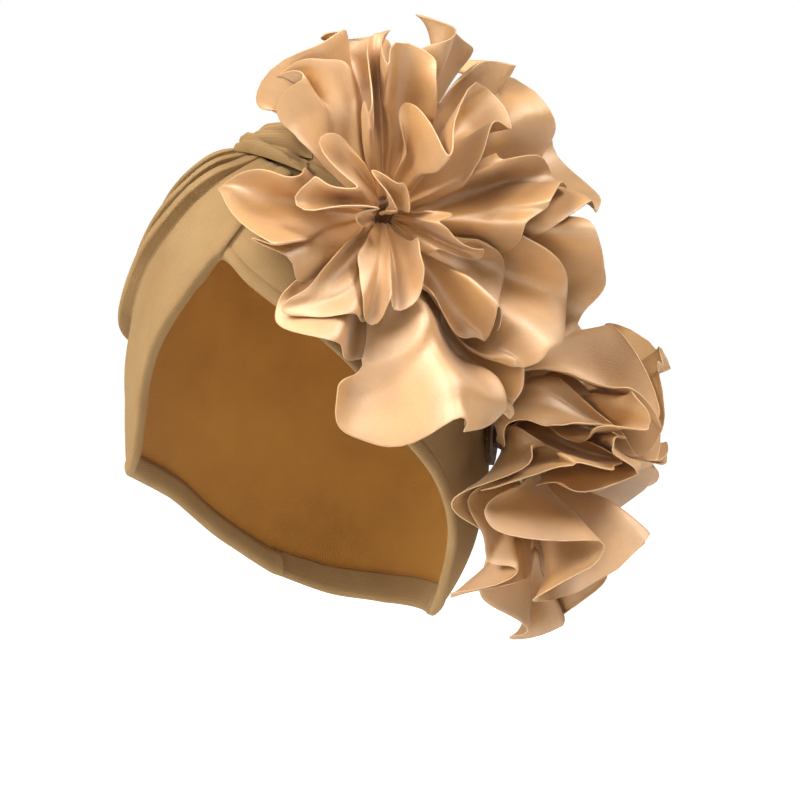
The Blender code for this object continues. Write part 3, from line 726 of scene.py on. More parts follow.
@dataclass
class StitchRow:
    """A row of machine stitches along a path, made by Geometry Nodes.

    Args:
        name: the row's name.
        path: points of the seam.
        length: length of one stitch.
        gap: cloth between two stitches.
        thread: the thread's radius.
    """

    name: str
    path: np.ndarray
    length: float = 2.6 * MM
    gap: float = 0.9 * MM
    thread: float = 0.28 * MM

    def tree(self, finish: bpy.types.Material) -> bpy.types.GeometryNodeTree:
        """The node tree: the path is cut at each stitch, and each cut takes one stitch."""
        tree = bpy.data.node_groups.new(f"{self.name}_stitches", "GeometryNodeTree")
        face = tree.interface
        face.new_socket("Path", in_out="INPUT", socket_type="NodeSocketGeometry")
        for label in ("Stitch length", "Stitch gap", "Thread radius"):
            face.new_socket(label, in_out="INPUT", socket_type="NodeSocketFloat")
        face.new_socket("Stitches", in_out="OUTPUT", socket_type="NodeSocketGeometry")
        start = add_node(tree, "NodeGroupInput", {}, {})
        step = add_node(tree, "ShaderNodeMath", {"operation": "ADD"},
                        {0: start.outputs["Stitch length"], 1: start.outputs["Stitch gap"]})
        places = add_node(tree, "GeometryNodeCurveToPoints", {"mode": "LENGTH"},
                          {"Curve": start.outputs["Path"], "Length": step.outputs[0]})
        half = add_node(tree, "ShaderNodeMath", {"operation": "MULTIPLY"},
                        {0: start.outputs["Stitch length"], 1: 0.5})
        body = add_node(tree, "GeometryNodeMeshUVSphere", {},
                        {"Segments": 8, "Rings": 6, "Radius": 1.0})
        size = add_node(tree, "ShaderNodeCombineXYZ", {},
                        {0: start.outputs["Thread radius"], 1: start.outputs["Thread radius"],
                         2: half.outputs[0]})
        one = add_node(tree, "GeometryNodeTransform", {},
                       {"Geometry": body.outputs[0], "Scale": size.outputs[0]})
        every = add_node(tree, "GeometryNodeInstanceOnPoints", {},
                         {"Points": places.outputs["Points"], "Instance": one.outputs[0],
                          "Rotation": places.outputs["Rotation"]})
        real = add_node(tree, "GeometryNodeRealizeInstances", {}, {0: every.outputs[0]})
        smooth = add_node(tree, "GeometryNodeSetShadeSmooth", {}, {0: real.outputs[0]})
        done = add_node(tree, "GeometryNodeSetMaterial", {},
                        {"Geometry": smooth.outputs[0], "Material": finish})
        add_node(tree, "NodeGroupOutput", {}, {0: done.outputs[0]})
        return tree

    def build(self, finish: bpy.types.Material) -> bpy.types.Object:
        """Makes the row as one plain mesh that rides with the cap."""
        curve = bpy.data.curves.new(self.name, "CURVE")
        curve.dimensions = "3D"
        spline = curve.splines.new("POLY")
        spline.points.add(len(self.path) - 1)
        flat = np.concatenate([self.path, np.ones((len(self.path), 1))], axis=1)
        spline.points.foreach_set("co", flat.ravel().astype(np.float32))
        seam = add_object(f"{self.name}_path", curve)
        nodes = seam.modifiers.new("stitches", "NODES")
        nodes.node_group = self.tree(finish)
        values = {"Stitch length": self.length, "Stitch gap": self.gap, "Thread radius": self.thread}
        for socket in nodes.node_group.interface.items_tree:
            if socket.name in values:
                nodes[socket.identifier] = values[socket.name]
        bpy.context.view_layer.update()
        graph = bpy.context.evaluated_depsgraph_get()
        mesh = bpy.data.meshes.new_from_object(seam.evaluated_get(graph), depsgraph=graph)
        bpy.data.objects.remove(seam)
        mesh.name = self.name
        piece = add_object(self.name, mesh)
        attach(piece, "root")
        log.info("%s: %d faces", self.name, len(mesh.polygons))
        return piece


def hem_section(rows: tuple[HemRow, ...], line: np.ndarray) -> tuple[np.ndarray, np.ndarray]:
    """How far in from the fold, and how high, a hem's cloth lies.

    Args:
        rows: the hem's section.
        line: place in the section, counted in rows.

    Returns:
        Both in metres.
    """
    number = np.arange(len(rows))
    inward = np.interp(line, number, np.array([row.inward for row in rows]) * MM)
    return inward, np.interp(line, number, np.array([row.height for row in rows]) * MM)


@dataclass
class Cap:
    """The jersey part of the cap: crown, two crossed bands, nape hem and twist."""

    # Heights are above the head, and a middle is that of a layer of cloth.
    crown_wall: float = 1.1 * MM
    crown_middle: float = 0.9 * MM
    crown_top_level: float = 0.4
    crown_columns: int = 180
    top_hole_above: float = -20 * MM
    lines: int = 90
    band_wall: float = 0.9 * MM
    band_middle: float = 3.3 * MM
    seam_middle: float = 2.2 * MM
    seam_width: float = 6.0 * MM
    seam_from: float = 0.975
    nape_wall: float = 0.8 * MM
    nape_overlap: float = 3.0
    stitch_overlap: float = 2.0
    stitch_rises: tuple[float, float] = (7.0 * MM, 10.0 * MM)
    stitch_height: float = 3.25 * MM
    stitch_path_points: int = 240
    hem_overlap: float = 0.6
    panel_rows: int = 150
    flat_rows: int = 48
    band_lines: int = 200
    flat_share: float = 0.50
    pleat_skew: float = 0.42
    # Rows crowd towards each crease by this power, so that it stays crisp.
    crease_rows: float = 1.7
    pleats: int = 3
    pleat_height: float = 6.6 * MM
    pleat_height_at_twist: float = 1.4 * MM
    # The pleats rise and sink between these shares of a band's length.
    pleats_rise: tuple[float, float] = (0.01, 0.16)
    pleats_sink: tuple[float, float] = (0.5, 1.0)
    pleats_sink_by: float = 0.5
    pleat_lap: float = 2.2 * MM
    lap_end: float = 0.3
    pressed_within: float = 18.0 * MM
    free_beyond: float = 42.0 * MM
    # The lengthwise ripples of stretched cloth, which start in from the hem.
    ripple: float = 0.22 * MM
    ripple_turns: tuple[float, float] = (31.0, 9.0)
    ripple_from: tuple[float, float] = (0.12, 0.3)
    lift: float = 2.7 * MM
    lift_from: float = -36.0
    lift_full: float = -11.0
    left_pleats_from: float = 30.0
    left_pleats_full: float = 58.0
    crossed: tuple[float, float] = (PEAK_TURN - 1.0, PEAK_TURN + 3.0)
    crossed_hem_share: float = 0.6
    twist_wall: float = 0.9 * MM
    twist_width: float = 13.0 * MM
    twist_height: float = 7.8 * MM
    twist_bow: float = 1.5
    twist_width_at_pinch: float = 0.35
    twist_height_at_pinch: float = 0.25
    twist_rise_to: float = 0.3
    twist_fall_from: float = 0.72
    twist_columns: int = 48
    twist_crease: float = 0.16
    crease_start: float = 0.25
    crease_slant: float = 0.5
    crease_width: float = 0.16
    crease_rise: tuple[float, float] = (0.05, 0.3)
    bands_top: float = 4.0 * MM
    band_edge_step: float = 1.0 * MM
    # Degrees of level above the right band's edge, from where to where it slopes up.
    band_edge_ramp: tuple[float, float] = (3.0, 0.5)
    twist_gap: float = 0.7 * MM

    def crown(self, outer: bpy.types.Material, inner: bpy.types.Material) -> None:
        """The whole cap under the bands and flowers, open at the face and the neck."""

        def place(across: np.ndarray, along: np.ndarray) -> np.ndarray:
            turn = across * 180.0
            top = self.crown_top_level
            level = top + along * (HEAD.rim(turn) - self.hem_overlap - top)
            return HEAD.cloth(turn, level, np.full(turn.shape, self.crown_middle))

        sheet = ClothSheet("crown_jersey", np.linspace(-1, 1, self.crown_columns + 1),
                           np.linspace(0, 1, self.lines), place, self.crown_wall, closed=True)
        piece = sheet.build(outer, inner)
        shape = bmesh.new()
        shape.from_mesh(piece.data)
        bmesh.ops.remove_doubles(shape, verts=shape.verts, dist=0.02 * MM)
        shape.verts.ensure_lookup_table()
        hole = [e for e in shape.edges if e.is_boundary and e.verts[0].co.z > self.top_hole_above]
        bmesh.ops.holes_fill(shape, edges=hole, sides=0)
        for face in shape.faces:
            face.smooth = True
        bmesh.ops.recalc_face_normals(shape, faces=shape.faces)
        shape.to_mesh(piece.data)
        shape.free()
        dress(piece, "crown")

    def pleat_relief(self, part: np.ndarray) -> np.ndarray:
        """Rounded rolls side by side, each with one steep side. Part counts the pleats."""
        return np.sin(np.pi * (part - np.floor(part)) ** self.pleat_skew)

    def near_flower(self, points: np.ndarray) -> np.ndarray:
        """0 where a flower presses the cloth flat, 1 away from it."""
        free = np.ones(points.shape[:-1])
        for turn, level in (UPPER_SITE, LOWER_SITE):
            distance = np.linalg.norm(points - HEAD.point(turn, level), axis=-1)
            free = free * smooth_step(distance, self.pressed_within, self.free_beyond)
        return free

    def cross_lift(self, turn: Any) -> np.ndarray:
        """How far the right band is lifted clear of the left one."""
        return self.lift * smooth_step(turn, self.lift_from, self.lift_full)

    def right_edge(self, along: np.ndarray) -> tuple[np.ndarray, np.ndarray]:
        """The right band's lower edge: from the twist down to the peak, and along the rim."""
        (far_turn, far_level), (near_turn, near_level) = RIGHT_LOWER_START
        turn = far_turn + (-BAND_BACK_TURN - far_turn) * along
        turns = (PEAK_TURN, near_turn, far_turn)
        beyond = np.interp(turn, turns, (float(HEAD.rim(PEAK_TURN)), near_level, far_level))
        return turn, np.where(turn > PEAK_TURN, beyond, HEAD.rim(turn))

    def left_edge(self, along: np.ndarray) -> tuple[np.ndarray, np.ndarray]:
        """The left band's lower edge, along the rim."""
        turn = LEFT_START_TURN + (BAND_BACK_TURN - LEFT_START_TURN) * along
        return turn, HEAD.rim(turn)

    def band(self, name: str, node: str, edge: Callable, upper: tuple, over: bool,
             outer: bpy.types.Material) -> None:
        """A pleated band from the twist to the side seam, with a turned hem by the face.

        Args:
            name: the piece's name.
            node: the CAD node that it stands for.
            edge: gives turn and level of its lower edge.
            upper: the table of its upper edge.
            over: True for the band that lies over the other.
            outer: its finish.
        """
        hem_rows = len(HEM) - 1
        count = hem_rows + self.panel_rows

        def place(across: np.ndarray, along: np.ndarray) -> np.ndarray:
            low_turn, low_level = edge(along)
            top_turn = read_table(upper, 1, along)
            top_level = read_table(upper, 2, along)
            middle = HEAD.point((low_turn + top_turn) / 2, (low_level + top_level) / 2)
            width = (np.linalg.norm(HEAD.point(low_turn, low_level) - middle, axis=-1)
                     + np.linalg.norm(middle - HEAD.point(top_turn, top_level), axis=-1))
            line = (across + 1) / 2 * count
            inward, bulge = hem_section(HEM, np.minimum(line, hem_rows))
            start = inward / width
            row = line - hem_rows
            flat = start + (self.flat_share - start) * np.clip(row / self.flat_rows, 0, 1)
            pleat_rows = self.panel_rows - self.flat_rows
            pleat = np.clip((row - self.flat_rows) / pleat_rows, 0, 1) * self.pleats
            part = np.floor(pleat) + (pleat - np.floor(pleat)) ** self.crease_rows
            share = flat + (1 - self.flat_share) * part / self.pleats
            turn = low_turn + (top_turn - low_turn) * share
            level = low_level + (top_level - low_level) * share
            rise = smooth_step(along, *self.pleats_rise)
            rise = rise * (1 - self.pleats_sink_by * smooth_step(along, *self.pleats_sink))
            full = self.pleat_height - self.pleat_height_at_twist
            relief = self.pleat_height_at_twist + full * rise
            relief = relief * self.near_flower(HEAD.point(turn, level))
            lift = self.cross_lift(turn) if over else 0.0 * turn
            if not over:
                relief = relief * smooth_step(turn, self.left_pleats_from, self.left_pleats_full)
            seam = 1 - smooth_step(width * (share - 1) + self.seam_width, 0.0, self.seam_width)
            seam = seam * (1 - smooth_step(along, self.seam_from, 1.0))
            base = self.seam_middle + (self.band_middle - self.seam_middle + lift) * seam
            height = base + relief * self.pleat_relief(part) * seam
            # The hem's inner layer stays on the head. Beyond the peak it lies higher, on the
            # other band.
            crossed = smooth_step(turn, *self.crossed) if over else 0.0 * turn
            depth_kept = 1 - self.crossed_hem_share * crossed
            bulge = np.where(bulge < HEM_INNER, bulge * depth_kept, bulge)
            under = np.where(bulge < HEM_INNER, lift * (bulge / HEM_DEPTH), 0.0) * (1 - crossed)
            height = np.where(line < hem_rows, height + bulge - under, height)
            # Each pleat's crest laps a little over the cloth on its face side.
            crest = np.clip((part - np.floor(part)) / self.lap_end, 0, 1)
            lap = np.sin(np.pi * crest) * (line > hem_rows)
            lap = self.pleat_lap * lap * relief / self.pleat_height * seam / width
            turn = turn - (top_turn - low_turn) * lap
            level = level - (top_level - low_level) * lap
            wide, long = self.ripple_turns
            ripple = self.ripple * np.sin(share * wide + long * along)
            ripple = ripple * smooth_step(share, *self.ripple_from) * (line > hem_rows)
            return HEAD.cloth(turn, level, height + ripple)

        sheet = ClothSheet(name, np.linspace(-1, 1, count + 1),
                           np.linspace(0, 1, self.band_lines), place, self.band_wall)
        piece = sheet.build(outer)
        dress(piece, node)

    def nape_hem(self, outer: bpy.types.Material) -> None:
        """The turned hem at the back of the neck, between the two bands."""
        first_turn = BAND_BACK_TURN - self.nape_overlap
        last_turn = 360 - first_turn

        def place(across: np.ndarray, along: np.ndarray) -> np.ndarray:
            turn = first_turn + (last_turn - first_turn) * along
            rise, height = hem_section(NAPE_HEM, (across + 1) / 2 * (len(NAPE_HEM) - 1))
            return HEAD.cloth(turn, HEAD.rim(turn) - np.degrees(rise / HEAD.rise), height)

        sheet = ClothSheet("nape_hem", np.linspace(-1, 1, 4 * len(NAPE_HEM) - 3),
                           np.linspace(0, 1, self.lines), place, self.nape_wall)
        dress(sheet.build(outer))

    def hem_stitches(self, thread: bpy.types.Material) -> None:
        """Twin rows of stitches that hold the nape hem."""
        first_turn = BAND_BACK_TURN - self.stitch_overlap
        turn = np.linspace(first_turn, 360 - first_turn, self.stitch_path_points)
        for number, rise in enumerate(self.stitch_rises, 1):
            level = HEAD.rim(turn) - np.degrees(rise / HEAD.rise)
            path = HEAD.cloth(turn, level, np.full(turn.shape, self.stitch_height))
            StitchRow(f"nape_stitches_{number}", path).build(thread)

    def seat(self, turn: np.ndarray, level: np.ndarray) -> np.ndarray:
        """Height of the bands' top under the twist."""
        (far_turn, far_level), _ = RIGHT_LOWER_START
        turns = (RIGHT_UPPER[1].turn, RIGHT_UPPER[0].turn, far_turn)
        levels = (RIGHT_UPPER[1].level, RIGHT_UPPER[0].level, far_level)
        edge = np.interp(turn, turns, levels)
        first, last = self.band_edge_ramp
        over = smooth_step(level, edge - first, edge - last)
        step = over * (self.cross_lift(turn) + self.band_edge_step)
        return self.bands_top + step + self.twist_gap

    def twist(self, row: TwistRow, outer: bpy.types.Material) -> None:
        """One roll of the twist: an arched strip with soft lengthwise folds."""

        def place(across: np.ndarray, along: np.ndarray) -> np.ndarray:
            turn = row.start_turn + (row.end_turn - row.start_turn) * along
            level = row.start_level + (row.end_level - row.start_level) * along
            level = level - self.twist_bow * np.sin(np.pi * along)
            pinch = self.twist_width_at_pinch
            width = self.twist_width * (pinch + (1 - pinch) * along)
            side = np.sin(np.pi / 2 * across)
            level = level + np.degrees(width / HEAD.rise) / 2 * side
            arch = np.sqrt(np.maximum(0.0, 1 - side**2))
            # A crease runs slantwise down the roll.
            off_crease = across - self.crease_start + self.crease_slant * along
            crease = self.twist_crease * np.exp(-((off_crease / self.crease_width) ** 2))
            crease = crease * smooth_step(along, *self.crease_rise)
            height = self.seat(turn, level) + self.band_wall / 2
            pinch = self.twist_height_at_pinch
            lift = row.height * self.twist_height * (
                pinch + (1 - pinch) * smooth_step(along, 0.0, self.twist_rise_to))
            lift = lift * (1 - smooth_step(along, self.twist_fall_from, 1.0))
            return HEAD.cloth(turn, level, height + lift * arch * (1 - crease))

        sheet = ClothSheet(f"{row.name}_roll", np.linspace(-1, 1, self.twist_columns + 1),
                           np.linspace(0, 1, self.lines), place, self.twist_wall)
        dress(sheet.build(outer), row.name)


ROUND, OUTWARD = 0, 1  # axes of a flower's room


def beside(room: np.ndarray, axis: int) -> tuple[np.ndarray, np.ndarray]:
    """A flower's room one step to each side."""
    if axis == ROUND:
        return np.roll(room, 1, 0), np.roll(room, -1, 0)
    padded = np.pad(room, ((0, 0), (1, 1)), mode="edge")
    return padded[:, :-2], padded[:, 2:]


def least_near(room: np.ndarray, axis: int, times: int = 1) -> np.ndarray:
    """The room, narrowed to the least within some steps along an axis."""
    for _ in range(times):
        room = np.minimum(room, np.minimum(*beside(room, axis)))
    return room


def blurred(room: np.ndarray, axis: int, times: int = 1) -> np.ndarray:
    """The room, blurred some times along an axis."""
    for _ in range(times):
        before, after = beside(room, axis)
        room = (before + 2 * room + after) / 4
    return room


@dataclass
class SatinFlower:
    """A flower of separate satin petals gathered to a felt core.

    Petals are placed in polar form round the core: clock round the flower's axis, lean away from
    it, and distance out. The room is kept as the smallest lean taken at each clock and distance,
    so that each petal lies on those sewn before it and none passes through another.
    """

    name: str
    petals: tuple
    turn: float
    level: float
    face_turn: float
    face_rise: float
    radius: float
    sway_starts: tuple[float, float, float]
    side: float
    core_node: str
    # The foot's top lies above the crown, a gap, the band, the sewn gap and the foot itself, and
    # the core's ball sits on it.
    core_ball: float = 8.0 * MM
    core_sink: float = 0.9
    core_foot: float = (1.5 + 1.1 + 1.4 + 0.3 + 2.2) * MM
    root_gap: float = 0.3 * MM
    reach_limit: float = 1.28
    petal_wall: float = 0.40 * MM
    bead_wall: float = 0.55 * MM
    shoulder: float = 0.62
    tip_power: float = 2.2
    cap_room: float = 8.5 * MM
    divider_room: float = 1.6 * MM
    # The room is tried from lean 0 in these steps, in degrees.
    lean_end: float = 179.0
    lean_step: float = 2.0
    narrowings: int = 3
    blurs: int = 10
    eased_steps: int = 6
    # Two petals that lie on each other are this far apart, near the core and farther out.
    spacing_mm: float = 1.5
    spacing_added_mm: float = 2.1
    spacing_full_at: float = 0.030
    # A petal bends away from another over this many degrees.
    softness: float = 4.0
    soft_limit: float = 30.0
    lobes: tuple[int, int] = (4, 9)
    slow_sway: float = 9.0
    quick_sway: float = 8.0
    turn_sway: float = 9.0
    sway_reach: float = 0.55
    sway_limit: float = 1.15
    sway_power: float = 1.6
    turn_lobes: int = 5
    ruffle_power: float = 1.4
    small_ruffle: float = 0.35 * MM
    ruffle_bend: float = 1.4
    ruffle_depth: float = 9.0 * MM
    # How fast the waves run, as the length of one radian: the ruffles, their bend, and the
    # crumples across and along.
    ruffle_length: float = 2.6 * MM
    bend_length: float = 7.5 * MM
    fine_lengths: tuple[float, float] = (6.1 * MM, 9.3 * MM)
    coarse_lengths: tuple[float, float] = (11.0 * MM, 8.5 * MM)
    fine_crumple: float = 0.5 * MM
    coarse_crumple: float = 1.1 * MM
    crumple_rise: tuple[float, float] = (0.2, 0.6)
    rolled_edge: float = 1.3 * MM
    rolled_width: float = 1.8 * MM
    gather_height: float = 0.5 * MM
    gather_rise: tuple[float, float] = (0.02, 0.14)
    gather_fall: tuple[float, float] = (0.3, 0.8)
    gather_folds: int = 9
    gather_varies: int = 4
    # Each petal's waves start this much later than those of the one before, in radians.
    wave_step: float = 37.0
    # A petal's outline wavers by these shares, so many times across.
    waver: tuple[float, float] = (0.012, 0.008)
    waver_turns: tuple[float, float] = (7.0, 17.0)
    # Grid lines crowd towards the open edges by these amounts.
    column_crowding: float = 0.94
    row_crowding: float = 1.35
    clocks_count: int = 180
    distances_count: int = 32
    # A little over one, so that the farthest place stays inside the last cell of the room.
    last_cell: float = 1.001
    columns: int = 72
    rows: int = 46

    def __post_init__(self) -> None:
        """Works out the flower's axes."""
        self.centre = self.core_centre()
        self.axis = np.array(facing(self.face_turn, self.face_rise))
        up = np.array([0.0, 0.0, 1.0]) - self.axis * self.axis[2]
        self.up = up / np.linalg.norm(up)
        self.right = np.cross(self.up, self.axis)
        self.start = self.core_ball + self.root_gap
        self.farthest = self.radius * self.reach_limit
        self.clocks = np.arange(self.clocks_count) * 360.0 / self.clocks_count
        self.distances = np.linspace(self.start, self.farthest, self.distances_count)

    def core_centre(self) -> np.ndarray:
        """The point that the petals radiate from."""
        height = self.core_foot + self.core_ball * self.core_sink
        return HEAD.cloth(self.turn, self.level, height)

    def blocked(self, points: np.ndarray, divider: tuple[np.ndarray, np.ndarray]) -> np.ndarray:
        """True where a point is too near the cap, or over on the other flower's side."""
        meeting, away = divider
        beyond = self.side * (points - meeting) @ away < self.divider_room
        return (HEAD.outside(points) < self.cap_room) | beyond

    def open_room(self, divider: tuple[np.ndarray, np.ndarray]) -> np.ndarray:
        """The smallest lean that would reach the cap or the other flower."""
        leans = np.arange(0.0, self.lean_end, self.lean_step)
        clock, distance, lean = np.meshgrid(self.clocks, self.distances, leans, indexing="ij")
        points = self.points(clock.ravel(), lean.ravel(), distance.ravel())
        shut = self.blocked(points, divider).reshape(clock.shape)
        shut[..., -1] = True
        room = least_near(leans[np.argmax(shut, axis=-1)], OUTWARD, self.narrowings)
        return blurred(room, OUTWARD, self.blurs)

    def clearance(self, distance: np.ndarray) -> np.ndarray:
        """Degrees between two petals that lie on each other."""
        share = smooth_step(distance, self.start, self.spacing_full_at)
        return np.degrees((self.spacing_mm + self.spacing_added_mm * share) * MM / distance)

    def eased(self, taken: np.ndarray) -> np.ndarray:
        """The room taken, eased so that a petal rises gently over another's edge."""
        low = least_near(least_near(taken, ROUND, self.eased_steps), OUTWARD)
        return blurred(blurred(low, ROUND, self.eased_steps), OUTWARD)

    def read_room(self, room: np.ndarray, clock: np.ndarray, distance: np.ndarray) -> np.ndarray:
        """The room at any clock and distance."""
        c = (clock % 360.0) * self.clocks_count / 360.0
        d = (distance - self.start) / (self.farthest - self.start) * (self.distances_count - 1)
        d = np.clip(d, 0, self.distances_count - self.last_cell)
        c0, d0 = np.floor(c).astype(int) % self.clocks_count, np.floor(d).astype(int)
        c1, fc, fd = (c0 + 1) % self.clocks_count, c - np.floor(c), d - d0
        near = room[c0, d0] * (1 - fc) + room[c1, d0] * fc
        far = room[c0, d0 + 1] * (1 - fc) + room[c1, d0 + 1] * fc
        return near * (1 - fd) + far * fd

    def lean(self, petal: PetalRow, across: np.ndarray, out: np.ndarray, clock: np.ndarray,
             distance: np.ndarray, room: np.ndarray) -> np.ndarray:
        """Lean of a petal's point, under the room that the earlier petals leave."""
        wave = np.sin(np.pi * petal.waves * across + np.radians(petal.phase))
        wanted = (petal.lean + petal.tilt * across * out
                  + petal.ruffle * out**self.ruffle_power * wave + petal.curl * out**2)
        free = self.read_room(room, clock, distance) - self.clearance(distance)
        over = np.clip((wanted - free) / self.softness, -self.soft_limit, self.soft_limit)
        return free - self.softness * np.log1p(np.exp(-over))

    def petal_edge(self, across: np.ndarray) -> np.ndarray:
        """Length of a petal at one place across it, as a share of its middle."""
        return self.shoulder + (1 - self.shoulder) * (1 - np.abs(across) ** self.tip_power)

    def fine_folds(self, petal: PetalRow, across: np.ndarray, along: np.ndarray,
                   distance: np.ndarray, number: int) -> np.ndarray:
        """How far gathers, small ruffles and the rolled edge move the cloth, in metres."""
        half = np.radians(petal.span / 2) * distance
        arc = half * across
        length = petal.reach * self.radius
        edge = np.minimum((1 - along) * length, (1 - np.abs(across)) * half)
        seed = self.wave_step * number + petal.phase
        near_edge = np.exp(-edge / self.ruffle_depth)
        bend = self.ruffle_bend * np.sin(arc / self.bend_length + seed)
        ruffle = self.small_ruffle * np.sin(arc / self.ruffle_length + bend + seed)
        roll = self.rolled_edge * np.exp(-edge / self.rolled_width)
        gather = smooth_step(along, *self.gather_rise) * (1 - smooth_step(along, *self.gather_fall))
        folds = self.gather_folds + number % self.gather_varies
        gathers = self.gather_height * gather * np.sin(across * folds + seed)
        wide, long = self.fine_lengths
        fine = np.sin(arc / wide + distance / long + seed)
        wide, long = self.coarse_lengths
        coarse = np.sin(arc / wide - distance / long + 2 * seed)
        crumple = self.fine_crumple * fine + self.coarse_crumple * coarse
        crumple = crumple * smooth_step(along, *self.crumple_rise)
        return ruffle * near_edge + roll + gathers + crumple

    def take_room(self, petal: PetalRow, room: np.ndarray, taken: np.ndarray) -> np.ndarray:
        """The room taken once a petal is placed."""
        clock, distance = np.meshgrid(self.clocks, self.distances, indexing="ij")
        across = ((clock - petal.clock + 180) % 360 - 180) / (petal.span / 2)
        inside = np.abs(across) <= 1
        across = np.clip(across, -1, 1)
        length = petal.reach * self.radius
        inside &= distance <= length * self.petal_edge(across)
        lean = self.lean(petal, across, distance / length, clock, distance, room)
        return np.where(inside, np.minimum(taken, lean), taken)

    def sway(self, clock: np.ndarray, lean: np.ndarray,
             distance: np.ndarray) -> tuple[np.ndarray, np.ndarray]:
        """Folds that all the petals share, so that their edges wind between each other."""
        out = np.clip(distance / (self.sway_reach * self.radius), 0, self.sway_limit)
        out = out**self.sway_power
        slow, quick = self.lobes
        first, second, third = self.sway_starts
        lean = lean + self.slow_sway * out * np.sin(np.radians(slow * clock + first))
        clock = clock + self.turn_sway * out * np.sin(np.radians(self.turn_lobes * lean + second))
        lean = lean + self.quick_sway * out * np.sin(np.radians(quick * clock + third))
        return clock, lean

    def points(self, clock: np.ndarray, lean: np.ndarray, distance: np.ndarray) -> np.ndarray:
        """Points in space."""
        clock, lean = self.sway(clock, lean, distance)
        c, a = np.radians(clock), np.radians(lean)
        ring = np.cos(c)[:, None] * self.up + np.sin(c)[:, None] * self.right
        direction = np.cos(a)[:, None] * self.axis + np.sin(a)[:, None] * ring
        return self.centre + distance[:, None] * direction

    def build(self, satin: bpy.types.Material, felt: bpy.types.Material,
              divider: tuple[np.ndarray, np.ndarray]) -> None:
        """Makes all the petals, from the outermost in, and finishes the core."""
        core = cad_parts[self.core_node]
        core.data.materials.clear()
        core.data.materials.append(felt)
        taken = self.open_room(divider)
        crowding = self.column_crowding
        across = np.sin(np.linspace(-np.pi / 2, np.pi / 2, self.columns + 1) * crowding)
        across = across / math.sin(crowding * math.pi / 2)
        along = 1 - (1 - np.linspace(0, 1, self.rows + 1)) ** self.row_crowding
        (slow, quick), (slow_turns, quick_turns) = self.waver, self.waver_turns
        for number, petal in enumerate(self.petals, 1):
            room = self.eased(taken)

            def place(u: np.ndarray, v: np.ndarray, petal: PetalRow = petal,
                      room: np.ndarray = room, number: int = number) -> np.ndarray:
                length = petal.reach * self.radius
                waver = (1 + slow * np.sin(slow_turns * u + number)
                         + quick * np.sin(quick_turns * u + 2 * number))
                distance = self.start + (length * self.petal_edge(u) * waver - self.start) * v
                clock = petal.clock + petal.span / 2 * u
                lean = self.lean(petal, u, distance / length, clock, distance, room)
                fold = self.fine_folds(petal, u, v, distance, number)
                return self.points(clock, lean + np.degrees(fold / distance), distance)

            name = f"{self.name}_{number:02d}"
            sheet = ClothSheet(f"satin_{name}", across, along, place, self.petal_wall,
                               self.bead_wall, fan=True)
            dress(sheet.build(satin), name)
            taken = self.take_room(petal, room, taken)


@dataclass(frozen=True)
class Softbox:
    """A large soft studio light that looks at the cap."""

    name: str
    place: tuple[float, float, float]
    size: tuple[float, float]
    power: float
    colour: str = "#ffffff"
    aim: tuple[float, float, float] = (0.03, 0.0, -0.09)

    def build(self) -> None:
        """Makes the light."""
        lamp = bpy.data.lights.new(self.name, "AREA")
        lamp.shape, lamp.size, lamp.size_y = "RECTANGLE", *self.size
        lamp.energy = self.power
        lamp.color = linear(self.colour)[:3]
        box = add_object(self.name, lamp)
        box.location = self.place
        look = Vector(self.aim) - Vector(self.place)
        box.rotation_euler = look.to_track_quat("-Z", "Y").to_euler()


